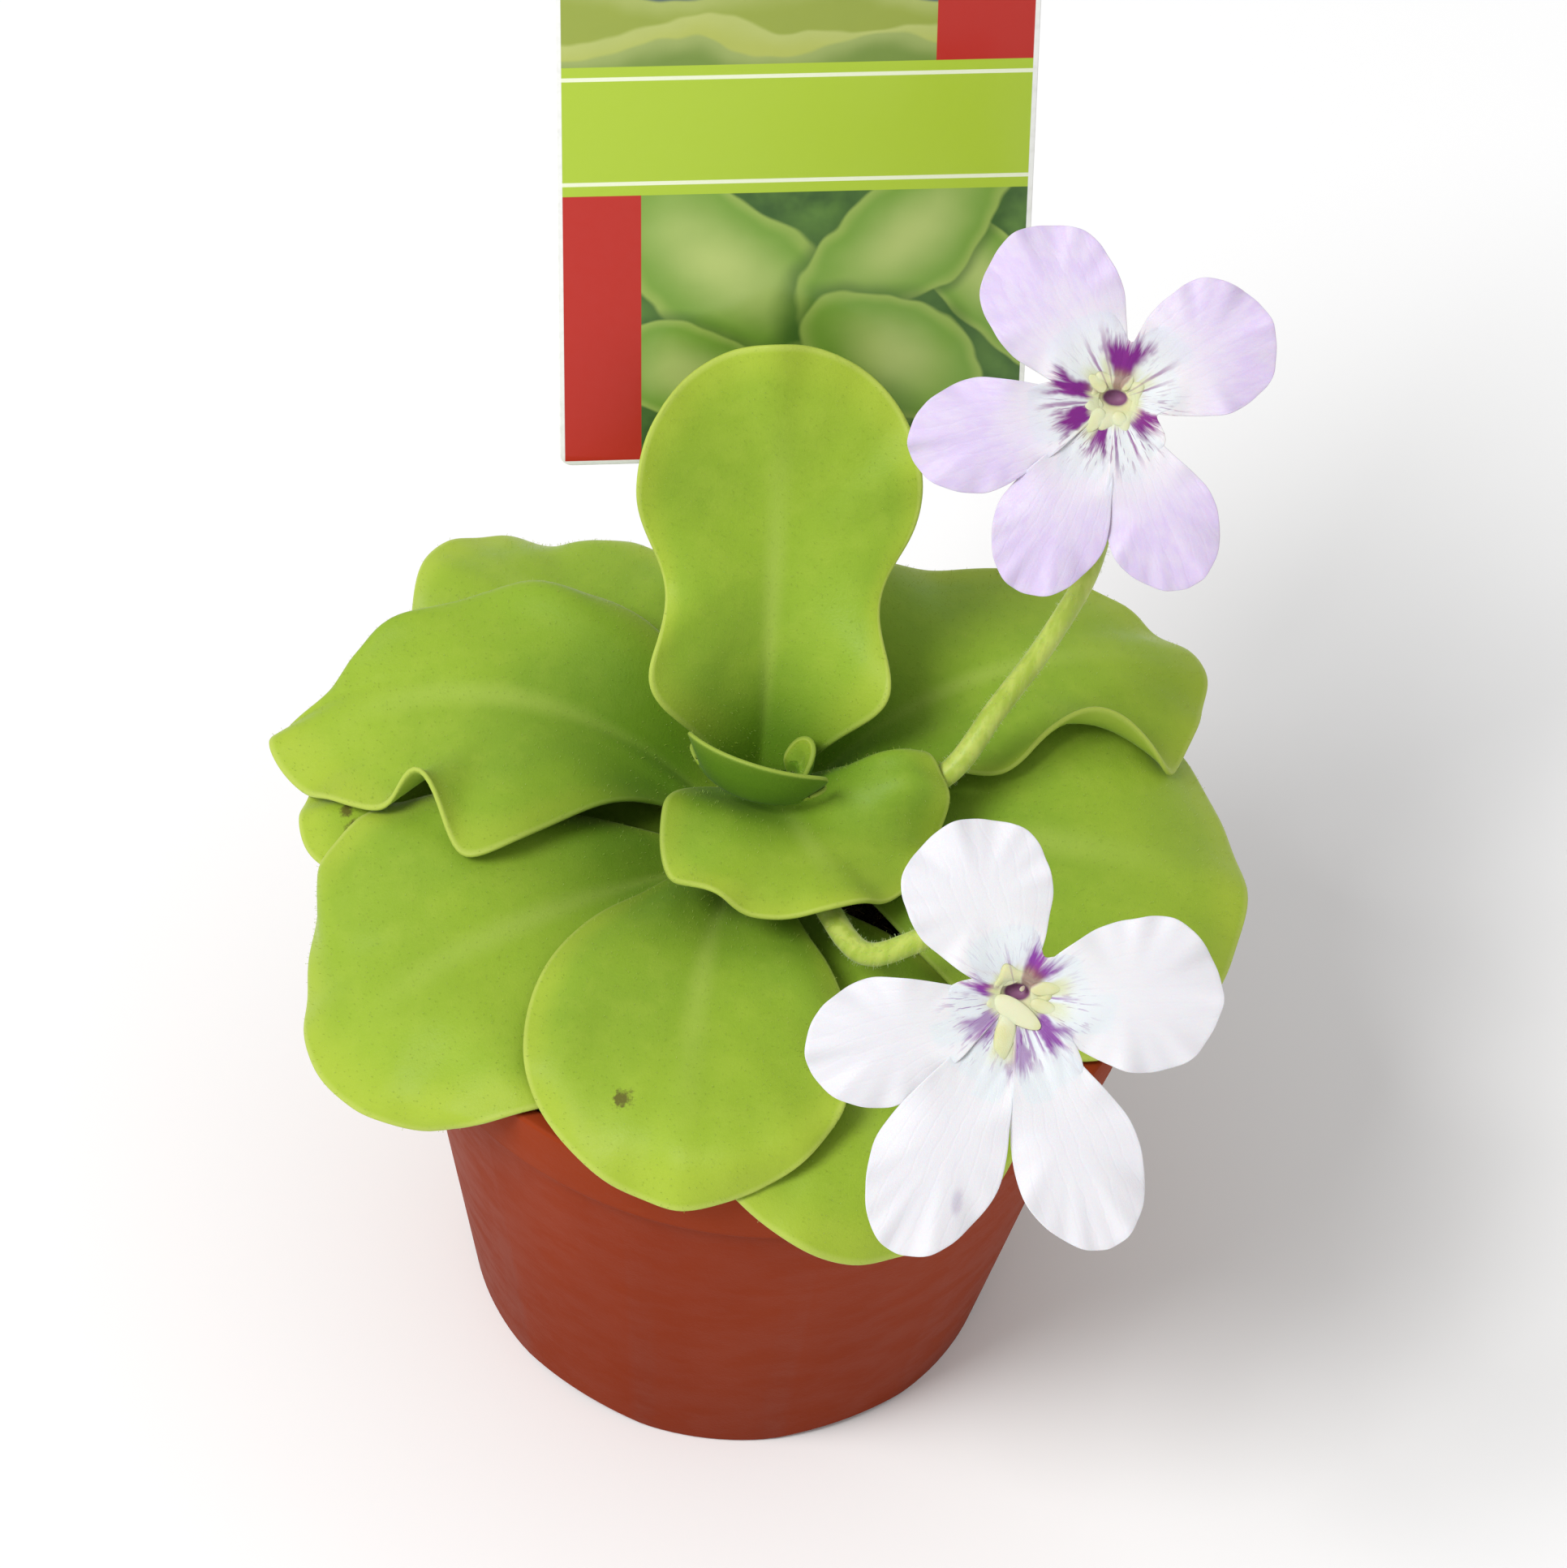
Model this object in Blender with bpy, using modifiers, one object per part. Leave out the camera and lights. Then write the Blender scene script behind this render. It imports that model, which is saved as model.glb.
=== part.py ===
"""A potted butterwort: a rosette of soft, waved leaves in a clay-coloured nursery pot of soil,
with a lilac bloom, a white bloom and a plant label. Metres, +Z up.

The origin is the middle of the pot's underside, and +Y points away from the front. Leaves, petals and
stem routes are given in millimetres and degrees, and MM turns them into metres.
"""
from math import cos, pi, radians, sin

import bmesh
import bpy
import numpy as np
from mathutils import Matrix, Vector
from mathutils.bvhtree import BVHTree

MM = 0.001
GAP = 0.0003

# The pot
POT_HEIGHT = 0.068
POT_WALL = 0.0014
POT_FLOOR = 0.0018
POT_EDGE = 0.0006
RIM_RADIUS = 0.045
RIM_BAND = 0.009
RIM_DRAFT = 0.0008
RIM_STEP = 0.0022
BASE_RADIUS = 0.032
POT_STEPS = 48
FOOT_NOTCHES = 6
NOTCH_HEIGHT = 0.001
NOTCH_WIDTH = 0.022
DRAIN_HOLES = 4
DRAIN_RADIUS = 0.0035
DRAIN_RING = 0.018
MOUTH_INSIDE = RIM_RADIUS - RIM_DRAFT - POT_WALL
FLOOR_INSIDE = BASE_RADIUS - POT_WALL

# The soil
SOIL_LEVEL = 0.0595
SOIL_BUMP = 0.0009
SOIL_RINGS = 7

# The short stem in the middle of the rosette
CROWN_X = -0.002
CROWN_Y = 0.009
CROWN_FOOT = 0.042
CROWN_TOP = 0.0715
CROWN_FOOT_RADIUS = 0.0052
CROWN_TOP_RADIUS = 0.0037

# How leaves lie on what is below them: each point moves out from the nest's centre until it is clear
LEAF_THICKNESS = 0.0011
LEAF_ACROSS = 8
LEAF_ALONG = 10
NEST_CENTRE = 0.030
NEST_REACH = 0.009
NEST_SAMPLES = 4
LEAST_LEAN = 0.45
CLEARING_ROUNDS = 20
CLEARING_REACH = 0.005
CLEARING_STEP = 0.0003
SETTLING_ROUNDS = 15
SETTLING_STEP = 0.0001

# The flowers
PETAL_THICKNESS = 0.0007
PETAL_ACROSS = 6
PETAL_ALONG = 6
PETAL_FOOT = -0.5
PETAL_STAGGER = 0.13
SCAPE_RADIUS = 0.0014
SCAPE_POINTS = 22
TUBE_LENGTH = 0.0075
TUBE_RADIUS = 0.0017
TUBE_END_RADIUS = 0.0014
MOUTH_RADIUS = 0.0026
THROAT_RADIUS = 0.0011
THROAT_DEPTH = 0.0022
SPUR_RADIUS = 0.0008
SPUR_POINTS = 9
SPUR_ROUTE = [(-0.2, -0.3, -2), (-1.8, -2.4, -3.9), (-3.5, -3.8, -7), (-5, -4.4, -11), (-6, -4.6, -15)]
CALYX_DEPTH = 0.0024
CALYX_RADIUS = 0.0028
CALYX_FOOT = 0.002

# The label
CARD_WIDTH = 0.054
CARD_HEIGHT = 0.088
CARD_THICKNESS = 0.0008
CARD_CORNER = 0.0015
CARD_FOOT = (-0.003, 0.0415, 0.0957)
CARD_LEAN = 14
CARD_TILT = 2.5
CARD_YAW = 8
STAKE_WIDTH = 0.011
STAKE_DEPTH = 0.066
STAKE_POINT = 0.012
STAKE_TIP = 0.002

# A leaf or petal, before its own values: where its foot starts and how long and wide it is, how its midrib
# rises, falls and swings, its outline, its section, the waves, bumps and lobes of its margin, and its gap to
# what it is laid on
BLADE = dict(
    start=4.5, base=64, azimuth=0, length=40, width=30,
    rise=30, fall=-20, bend=1.0, swing=0, roll=0,
    neck=0.28, shoulder=0.6, taper=0.0, trough=25, left_cup=0, right_cup=0,
    waves=(), bumps=(), lobes=(), gap=0.4,
)
MIDRIB_STEPS = 60
SECTION_STEPS = 12
TROUGH_END = 0.7

# From the oldest and lowest leaf to the youngest. Each lies on those before it.
LEAVES = {
    "leaf_far_left": dict(azimuth=183, length=46, width=28, base=61, rise=20, fall=-15,
                          left_cup=-20, right_cup=-20, waves=((1.0, 5, 30),)),
    "leaf_back_right_low": dict(azimuth=44, length=42, width=27, base=61, rise=22, fall=-10,
                                left_cup=-20, right_cup=-20, waves=((1.0, 5, 80),)),
    "leaf_back_left_low": dict(azimuth=136, length=42, width=27, base=62, rise=22, fall=-10,
                               left_cup=-20, right_cup=-20, waves=((1.0, 5, 200),)),
    "leaf_front_right_low": dict(azimuth=-70, length=53, width=38, base=62, rise=16, fall=-65, bend=3,
                                 left_cup=-20, right_cup=-20, waves=((1.0, 4, 90),)),
    "leaf_left_front": dict(azimuth=-140, length=57, width=43, base=63, rise=20, fall=-45, bend=1.8,
                            left_cup=-25, right_cup=-25, waves=((1.0, 5, 0),)),
    "leaf_right_front": dict(azimuth=-2, length=54, width=56, base=63, rise=22, fall=-35, bend=1.8,
                             taper=-0.15, left_cup=-20, right_cup=-25, waves=((1.2, 5, 0),)),
    "leaf_front": dict(azimuth=-104, swing=24, length=49, width=35, base=65, rise=25, fall=-60, bend=2,
                       taper=-0.1, left_cup=-30, right_cup=-30, waves=((1.0, 5, 90),)),
    "leaf_back_left": dict(azimuth=138, length=50, width=36, base=63, rise=22, fall=-16, bend=1.2,
                           left_cup=-20, right_cup=-20, waves=((1.2, 5, 0),)),
    "leaf_left": dict(azimuth=156, swing=44, length=57, width=42, base=65, rise=32, fall=-30, roll=2,
                      taper=0.2, left_cup=-10, right_cup=-48, waves=((0.8, 6, 0),),
                      bumps=((7, -125, 22), (6, 72, 9), (2, 45, 14)),
                      lobes=((0.3, -130, 22), (-0.5, -70, 30), (-0.7, -40, 28), (-0.25, 72, 10),
                             (0.2, 104, 22))),
    "leaf_right": dict(azimuth=44, swing=-28, length=58, width=36, base=67, rise=36, fall=-34,
                       left_cup=-20, right_cup=-25, waves=((1.0, 6, 0),),
                       bumps=((7, 118, 26), (5, -76, 16), (-2, -48, 12)),
                       lobes=((0.45, 122, 28), (-0.4, -80, 18), (0.2, -45, 12))),
}

# The flower stems rise between the outer leaves and the young ones, each to the bloom of its name.
SCAPES = {
    "scape_white": [(0.4, 5.4, 70), (5, -4, 73.5), (11, -14.5, 75.5), (16.7, -17, 81), (22.5, -19, 90),
                    (26, -28, 98), (27.3, -38, 102)],
    "scape_lilac": [(3.6, 9, 71), (9, 9, 75), (18.5, 10, 78.5), (24, 15.5, 85.5), (29, 17.5, 97),
                    (32.5, 20.5, 108), (33, 27, 121)],
}

YOUNG_LEAVES = {
    "leaf_inner_front": dict(azimuth=-62, length=24, width=33, base=72, rise=40, fall=-10, start=0,
                             neck=0.8, shoulder=0.3, trough=20, roll=-12, left_cup=-20, right_cup=-20,
                             waves=((1.2, 6, 0),), gap=-0.2),
    "leaf_erect": dict(azimuth=95, length=51, width=34, base=73, rise=62, fall=54, start=5.5, neck=0.85,
                       shoulder=0.6, taper=-0.2, trough=35, left_cup=15, right_cup=15, waves=((0.8, 6, 0),),
                       bumps=((-1.5, 97, 16), (-1.5, -97, 16)),
                       lobes=((-0.2, 97, 16), (0.25, 124, 14), (-0.2, -97, 16), (0.25, -124, 14))),
    "leaf_heart": dict(azimuth=-106, length=15, width=19, base=73, rise=62, fall=92, start=4, neck=0.5,
                       shoulder=0.4, taper=-0.4, trough=0, left_cup=62, right_cup=62),
    "leaf_bud": dict(azimuth=20, length=8, width=6, base=74, rise=75, fall=80, start=4, neck=0.8,
                     shoulder=0.3, trough=20, left_cup=50, right_cup=50),
}

# Each petal: the way it points in its bloom's face, 0 right and 90 up, then its length, width and neck.
PETAL = dict(start=1.5, rise=14, fall=-10, shoulder=0.7, trough=10, left_cup=-8, right_cup=-8)
BLOOMS = {
    "bloom_lilac": dict(centre=(32, 23, 130), heading=-92, tilt=44, colour=(0.82, 0.757, 0.905),
                        petals=((129, 20, 15.6, 0.6), (37, 17.8, 15.2, 0.6), (202, 22, 12.6, 0.36),
                                (251, 22.2, 13, 0.36), (299, 20.8, 13, 0.36))),
    "bloom_white": dict(centre=(27.3, -46, 110), heading=-88, tilt=50, colour=(0.908, 0.907, 0.925),
                        petals=((115, 18, 16, 0.6), (6, 20.2, 16.8, 0.6), (203, 21.8, 13.6, 0.36),
                                (249, 28.5, 14.2, 0.36), (295, 26.8, 14, 0.36))),
}


def fresh_start():
    for old in list(bpy.data.objects):
        bpy.data.objects.remove(old)


def collection(name):
    made = bpy.data.collections.new(name)
    bpy.context.scene.collection.children.link(made)
    return made


def material(name, colour, roughness):
    made = bpy.data.materials.new(name)
    made.use_nodes = True
    shader = made.node_tree.nodes["Principled BSDF"]
    shader.inputs["Base Color"].default_value = (*colour, 1)
    shader.inputs["Roughness"].default_value = roughness
    shader.inputs["Metallic"].default_value = 0
    return made


def add_object(name, data, home, finish=None):
    made = bpy.data.objects.new(name, data)
    home.objects.link(made)
    if finish:
        data.materials.clear()
        data.materials.append(finish)
    return made


def evaluated_mesh(made):
    bpy.context.view_layer.update()
    seen = made.evaluated_get(bpy.context.evaluated_depsgraph_get())
    mesh = bpy.data.meshes.new_from_object(seen)
    mesh.transform(made.matrix_world)
    return mesh


def made_plain(made, home, finish=None):
    """The same shape as a plain mesh with its caps welded, in place of a curve or a stack of modifiers."""
    name = made.name
    mesh = evaluated_mesh(made)
    bpy.data.objects.remove(made)
    shell = bmesh.new()
    shell.from_mesh(mesh)
    bmesh.ops.remove_doubles(shell, verts=shell.verts, dist=0.00001)
    shell.to_mesh(mesh)
    shell.free()
    return add_object(name, mesh, home, finish)


def turned(name, profile, steps, home, finish=None):
    """A solid turned from (radius, height) points that run down its outer side."""
    mesh = bpy.data.meshes.new(name)
    mesh.from_pydata([(r, 0, z) for r, z in profile], [(k, k + 1) for k in range(len(profile) - 1)], [])
    made = add_object(name, mesh, home)
    screw = made.modifiers.new("turn", "SCREW")
    screw.steps = steps
    screw.render_steps = steps
    screw.use_merge_vertices = True
    screw.merge_threshold = 0.00005
    return made_plain(made, home, finish)


def tube(name, points, radii, home, resolution=2):
    """A round stem through points, with a radius at each."""
    curve = bpy.data.curves.new(name, "CURVE")
    curve.dimensions = "3D"
    curve.bevel_depth = 1
    curve.bevel_resolution = resolution
    curve.use_fill_caps = True
    spline = curve.splines.new("POLY")
    spline.points.add(len(points) - 1)
    for knot, place, radius in zip(spline.points, points, radii):
        knot.co = (*place, 1)
        knot.radius = radius
    return made_plain(add_object(name, curve, home), home)


def hidden(cutter):
    cutter.hide_render = True
    cutter.display_type = "WIRE"
    return cutter


def cylinder_cutter(name, radius, length, place, home, sides=20):
    mesh = bpy.data.meshes.new(name)
    shell = bmesh.new()
    bmesh.ops.create_cone(shell, cap_ends=True, segments=sides, radius1=radius, radius2=radius, depth=length)
    shell.to_mesh(mesh)
    shell.free()
    made = add_object(name, mesh, home)
    made.matrix_world = place
    return hidden(made)


def box_cutter(name, size, place, home):
    mesh = bpy.data.meshes.new(name)
    shell = bmesh.new()
    bmesh.ops.create_cube(shell, size=1)
    bmesh.ops.scale(shell, vec=size, verts=shell.verts)
    shell.to_mesh(mesh)
    shell.free()
    made = add_object(name, mesh, home)
    made.matrix_world = place
    return hidden(made)


def cut(made, cutter):
    change = made.modifiers.new("cut " + cutter.name, "BOOLEAN")
    change.operation = "DIFFERENCE"
    change.solver = "EXACT"
    change.object = cutter


def fused(core, pieces, home, finish):
    """Joins the loose pieces of a collection to a core, and removes them."""
    name = core.name
    join = core.modifiers.new("join", "BOOLEAN")
    join.operation = "UNION"
    join.solver = "EXACT"
    join.operand_type = "COLLECTION"
    join.collection = pieces
    mesh = evaluated_mesh(core)
    for piece in [core, *pieces.objects]:
        bpy.data.objects.remove(piece)
    bpy.data.collections.remove(pieces)
    return add_object(name, mesh, home, finish)


def smoothed(share):
    share = np.clip(share, 0, 1)
    return share * share * (3 - 2 * share)


def blade(shape, u, v):
    """The middle of a leaf or petal, in millimetres. u runs across it and v along it, from -1 to 1."""
    p = {**BLADE, **shape}
    # The square of u and v becomes a disc, so that the margin is one smooth line.
    across = u * np.sqrt(1 - v * v / 2)
    forward = v * np.sqrt(1 - u * u / 2)
    radius = np.hypot(across, forward)
    around = np.degrees(np.arctan2(across, forward))
    along = (forward + 1) / 2
    reach = across * p["width"] / 2 * (p["neck"] + (1 - p["neck"]) * smoothed(along / p["shoulder"]))
    reach = reach * (1 - p["taper"] * smoothed(2 * along - 1))
    for share, place, spread in p["lobes"]:
        reach = reach * (1 + share * radius ** 2 * np.exp(-((around - place) / spread) ** 2))

    # The midrib starts at the rise, and its tip points at the fall.
    share = np.linspace(0, 1, MIDRIB_STEPS + 1)
    middle = (share[1:] + share[:-1]) / 2
    pitch = np.radians(p["rise"] + (p["fall"] - p["rise"]) * middle ** p["bend"])
    heading = np.radians(p["azimuth"] + p["swing"] * middle)
    steps = np.stack([np.cos(pitch) * np.cos(heading), np.cos(pitch) * np.sin(heading), np.sin(pitch)], -1)
    first = np.radians(p["azimuth"])
    foot = np.array([p["start"] * np.cos(first), p["start"] * np.sin(first), p["base"]])
    midrib = np.vstack([[0, 0, 0], np.cumsum(steps * p["length"] / MIDRIB_STEPS, 0)]) + foot
    point = np.stack([np.interp(along, share, midrib[:, k]) for k in range(3)], -1)
    heading = np.interp(along, middle, heading)
    pitch = np.interp(along, middle, pitch)
    side = np.stack([-np.sin(heading), np.cos(heading), 0 * heading], -1)
    upper = np.stack([-np.sin(pitch) * np.cos(heading), -np.sin(pitch) * np.sin(heading), np.cos(pitch)], -1)
    roll = np.radians(p["roll"])
    side, upper = side * np.cos(roll) + upper * np.sin(roll), upper * np.cos(roll) - side * np.sin(roll)

    # The section across is an arc on each side, on top of a trough that fades towards the tip.
    cup = np.where(across > 0, p["left_cup"], p["right_cup"]) * (0.3 + 0.7 * smoothed(2 * along))
    trough = p["trough"] * (1 - smoothed(along / TROUGH_END))
    stations = (np.arange(SECTION_STEPS) + 0.5) / SECTION_STEPS
    slopes = np.radians(trough + cup * stations[:, None, None] * np.abs(across))
    out = reach * np.cos(slopes).mean(axis=0)
    lift = np.abs(reach) * np.sin(slopes).mean(axis=0)

    # Waves and bumps grow towards the margin and fade at the foot.
    fade = radius ** 3 * smoothed(along / 0.45)
    for height, count, phase in p["waves"]:
        lift = lift + height * fade * np.cos(np.radians(count * around + phase))
    for height, place, spread in p["bumps"]:
        lift = lift + height * fade * np.exp(-((around - place) / spread) ** 2)
    return point + side * out[..., None] + upper * lift[..., None]


def grid_axes(across, along):
    return np.meshgrid(np.linspace(-1, 1, across + 1), np.linspace(-1, 1, along + 1))


def radiating_faces(across, along):
    """Two triangles for each cell of a grid, split by the diagonal that runs out from the middle."""
    faces = []
    for j in range(along):
        for i in range(across):
            a = j * (across + 1) + i
            b, c, d = a + 1, a + across + 2, a + across + 1
            outward = (i < across / 2) == (j < along / 2)
            faces += [(a, b, c), (a, c, d)] if outward else [(a, b, d), (b, c, d)]
    return faces


def sheet(name, points, thickness, home, finish=None):
    """A thin closed blade: a grid of points with its thickness shared by both sides."""
    rows, columns = points.shape[:2]
    mesh = bpy.data.meshes.new(name)
    mesh.from_pydata(points.reshape(-1, 3).tolist(), [], radiating_faces(columns - 1, rows - 1))
    made = add_object(name, mesh, home, finish)
    wall = made.modifiers.new("thickness", "SOLIDIFY")
    wall.thickness = thickness
    wall.offset = 0
    wall.use_quality_normals = True
    return made


def face_tree(mesh):
    return BVHTree.FromPolygons([v.co for v in mesh.vertices], [tuple(f.vertices) for f in mesh.polygons])


def search_tree(made):
    mesh = evaluated_mesh(made)
    tree = face_tree(mesh)
    bpy.data.meshes.remove(mesh)
    return tree


def shortfall(place, facing, clearance, below):
    """How far a point has to move out from the nest's centre to clear what lies under it."""
    centre = Vector((CROWN_X, CROWN_Y, NEST_CENTRE))
    ray = Vector(place) - centre
    direction = ray.normalized()
    far = ray.length + NEST_REACH
    hits = [tree.ray_cast(centre + direction * far, -direction, far) for tree in below]
    floor = max([far - hit[3] for hit in hits if hit[0] is not None], default=0)
    lean = 1 if facing is None else max(LEAST_LEAN, abs(direction.dot(Vector(facing))))
    return max(0, floor + clearance / lean - ray.length) if floor else 0


def moved_out(points, push):
    away = points - np.array((CROWN_X, CROWN_Y, NEST_CENTRE))
    away /= np.linalg.norm(away, axis=-1, keepdims=True)
    return points + away * push[..., None]


def softened(field):
    """Each value pulled up towards its neighbours' mean, but never lowered."""
    padded = np.pad(field, 1, mode="edge")
    rows, columns = field.shape
    mean = np.mean([padded[j:j + rows, i:i + columns] for j in range(3) for i in range(3)], axis=0)
    return np.maximum(field, mean)


def nested(shape, below):
    """The points of a leaf, moved out from the middle of the pot until it lies on what is under it."""
    place = np.array([CROWN_X, CROWN_Y, 0])
    points = blade(shape, *grid_axes(LEAF_ACROSS, LEAF_ALONG)) * MM + place
    fine = blade(shape, *grid_axes(LEAF_ACROSS * NEST_SAMPLES, LEAF_ALONG * NEST_SAMPLES)) * MM + place
    facing = np.cross(np.gradient(fine, axis=1), np.gradient(fine, axis=0))
    facing /= np.linalg.norm(facing, axis=-1, keepdims=True)
    clearance = LEAF_THICKNESS / 2 + {**BLADE, **shape}["gap"] * MM
    need = np.zeros(fine.shape[:2])
    for j, i in np.ndindex(need.shape):
        need[j, i] = shortfall(fine[j, i], facing[j, i], clearance, below)
    # A point of the coarse grid takes the largest need of the cells round it.
    push = np.zeros(points.shape[:2])
    for j, i in np.ndindex(push.shape):
        rows = slice(max(0, (j - 1) * NEST_SAMPLES), (j + 1) * NEST_SAMPLES + 1)
        columns = slice(max(0, (i - 1) * NEST_SAMPLES), (i + 1) * NEST_SAMPLES + 1)
        push[j, i] = need[rows, columns].max()
    for _ in range(3):
        push = softened(push)
    return moved_out(points, push)


def struck_places(points, thickness, below, home):
    """Where the faces of a leaf would cross those of the objects below it."""
    trial = sheet("trial", points, thickness, home)
    mesh = evaluated_mesh(trial)
    bpy.data.objects.remove(trial)
    tree = face_tree(mesh)
    faces = {pair[0] for other in below for pair in tree.overlap(other)}
    places = [tuple(mesh.polygons[k].center) for k in sorted(faces)]
    bpy.data.meshes.remove(mesh)
    return np.array(places)


def cleared(points, below, home):
    """The points of a leaf, moved out again wherever its faces still cross what is below them."""
    for _ in range(CLEARING_ROUNDS):
        places = struck_places(points, LEAF_THICKNESS + GAP, below, home)
        if not len(places):
            break
        distance = np.linalg.norm(points[:, :, None, :] - places[None, None], axis=-1).min(axis=-1)
        push = np.where(distance < CLEARING_REACH, CLEARING_STEP, 0)
        points = moved_out(points, softened(softened(push)))
    return points


def settled(points, below, home):
    """The points of a leaf, moved back as one until it is a gap away from what carries it."""
    for _ in range(SETTLING_ROUNDS):
        lower = moved_out(points, np.full(points.shape[:2], -SETTLING_STEP))
        if len(struck_places(lower, LEAF_THICKNESS + 2 * GAP, below, home)):
            break
        points = lower
    return points


def make_leaf(name, shape, below, home, finish):
    points = settled(cleared(nested(shape, below), below, home), below, home)
    below.append(search_tree(sheet(name, points, LEAF_THICKNESS, home, finish)))


def smooth_route(knots, count):
    """Points spaced along a smooth curve through the knots."""
    knots = np.array(knots, float)
    padded = np.vstack([2 * knots[0] - knots[1], knots, 2 * knots[-1] - knots[-2]])
    route = []
    for share in np.linspace(0, len(knots) - 1, count):
        k = min(int(share), len(knots) - 2)
        t = share - k
        a, b, c, d = padded[k:k + 4]
        route.append(0.5 * (2 * b + (c - a) * t + (2 * a - 5 * b + 4 * c - d) * t * t
                            + (3 * b - a - 3 * c + d) * t ** 3))
    return np.array(route)


def laid_route(knots, below):
    """A stem's route, lifted clear of the leaves that it passes over."""
    route = smooth_route(knots, SCAPE_POINTS) * MM
    push = np.array([shortfall(place, None, SCAPE_RADIUS + GAP, below) for place in route])
    for _ in range(4):
        padded = np.pad(push, 1, mode="edge")
        push = np.maximum(push, (padded[2:] + padded[:-2]) / 2 * 0.96)
    push[-3:] = 0
    return moved_out(route, push)


def facing_frame(bloom):
    """A frame whose Z points out of a bloom's face, X to its right and Y up."""
    a, e = radians(bloom["heading"]), radians(bloom["tilt"])
    out = Vector((cos(e) * cos(a), cos(e) * sin(a), sin(e)))
    right = Vector((0, 0, 1)).cross(out).normalized()
    up = out.cross(right)
    frame = Matrix((right, up, out)).transposed().to_4x4()
    frame.translation = Vector(bloom["centre"]) * MM
    return frame


def make_bloom(name, bloom, home):
    """Petals, throat and spur grown as one piece, with a blind hole down the throat."""
    finish = material(name + "_petal", bloom["colour"], 0.5)
    pieces = collection(name + "_pieces")
    for k, (azimuth, length, width, neck) in enumerate(bloom["petals"]):
        # Neighbours start at unlike heights, so that no two lie in one plane where they meet.
        shape = dict(PETAL, azimuth=azimuth, length=length, width=width, neck=neck,
                     base=PETAL_FOOT + PETAL_STAGGER * (2 * k % 5),
                     waves=((0.35, 5, 70 * k), (0.25, 8, 40 * k)))
        points = blade(shape, *grid_axes(PETAL_ACROSS, PETAL_ALONG)) * MM
        sheet(name + "_piece_" + str(k), points, PETAL_THICKNESS, pieces)
    route = smooth_route(SPUR_ROUTE, SPUR_POINTS) * MM
    tube(name + "_spur", route, np.linspace(1.25, 0.6, SPUR_POINTS) * SPUR_RADIUS, pieces, resolution=1)
    profile = [
        (0, -THROAT_DEPTH), (THROAT_RADIUS * 0.8, -THROAT_DEPTH), (THROAT_RADIUS, THROAT_DEPTH * -0.45),
        (MOUTH_RADIUS * 0.8, GAP), (MOUTH_RADIUS, 0), (MOUTH_RADIUS * 0.92, TUBE_LENGTH * -0.12),
        (TUBE_RADIUS, TUBE_LENGTH * -0.33), (TUBE_END_RADIUS, -TUBE_LENGTH), (0, -TUBE_LENGTH),
    ]
    made = fused(turned(name, profile, 16, home), pieces, home, finish)
    made.matrix_world = facing_frame(bloom)


def make_scape(name, knots, bloom, below, home, finish):
    """A flower's stem, with the small cup at its top that holds the bloom's tube."""
    frame = facing_frame(bloom)
    seat = -TUBE_LENGTH - GAP
    route = laid_route(knots, below)
    route[-1] = frame @ Vector((0, 0, seat - CALYX_FOOT * 0.6))
    behind = np.array(frame @ Vector((0, 0, seat - CALYX_FOOT * 2.25)))
    route[-2] = behind * 0.6 + route[-3] * 0.4
    pieces = collection(name + "_pieces")
    tube(name + "_tube", route, np.linspace(1.1, 0.8, SCAPE_POINTS) * SCAPE_RADIUS, pieces)
    inside = TUBE_END_RADIUS + 2 * GAP
    profile = [
        (0, seat), (inside, seat), (inside, seat + CALYX_DEPTH), (CALYX_RADIUS, seat + CALYX_DEPTH),
        (CALYX_RADIUS * 0.85, seat), (CALYX_RADIUS * 0.3, seat - CALYX_FOOT), (0, seat - CALYX_FOOT),
    ]
    core = turned(name, profile, 15, home)
    core.matrix_world = frame
    below.append(search_tree(fused(core, pieces, home, finish)))


def make_plant(home, below):
    """Leaves and flower stems in the order in which they grew, each clear of those below it."""
    leaf_green = material("leaf_green", (0.36, 0.50, 0.05), 0.45)
    stem_green = material("stem_green", (0.49, 0.59, 0.11), 0.5)
    for name, shape in LEAVES.items():
        make_leaf(name, shape, below, home, leaf_green)
    for name, knots in SCAPES.items():
        make_scape(name, knots, BLOOMS[name.replace("scape", "bloom")], below, home, stem_green)
    for name, shape in YOUNG_LEAVES.items():
        make_leaf(name, shape, below, home, leaf_green)
    for name, bloom in BLOOMS.items():
        make_bloom(name, bloom, home)


def around_pot(share, radius, height):
    """A place on a ring round the pot's axis, a share of a turn from +X, with its X pointing out."""
    return Matrix.Rotation(2 * pi * share, 4, "Z") @ Matrix.Translation((radius, 0, height))


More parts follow.
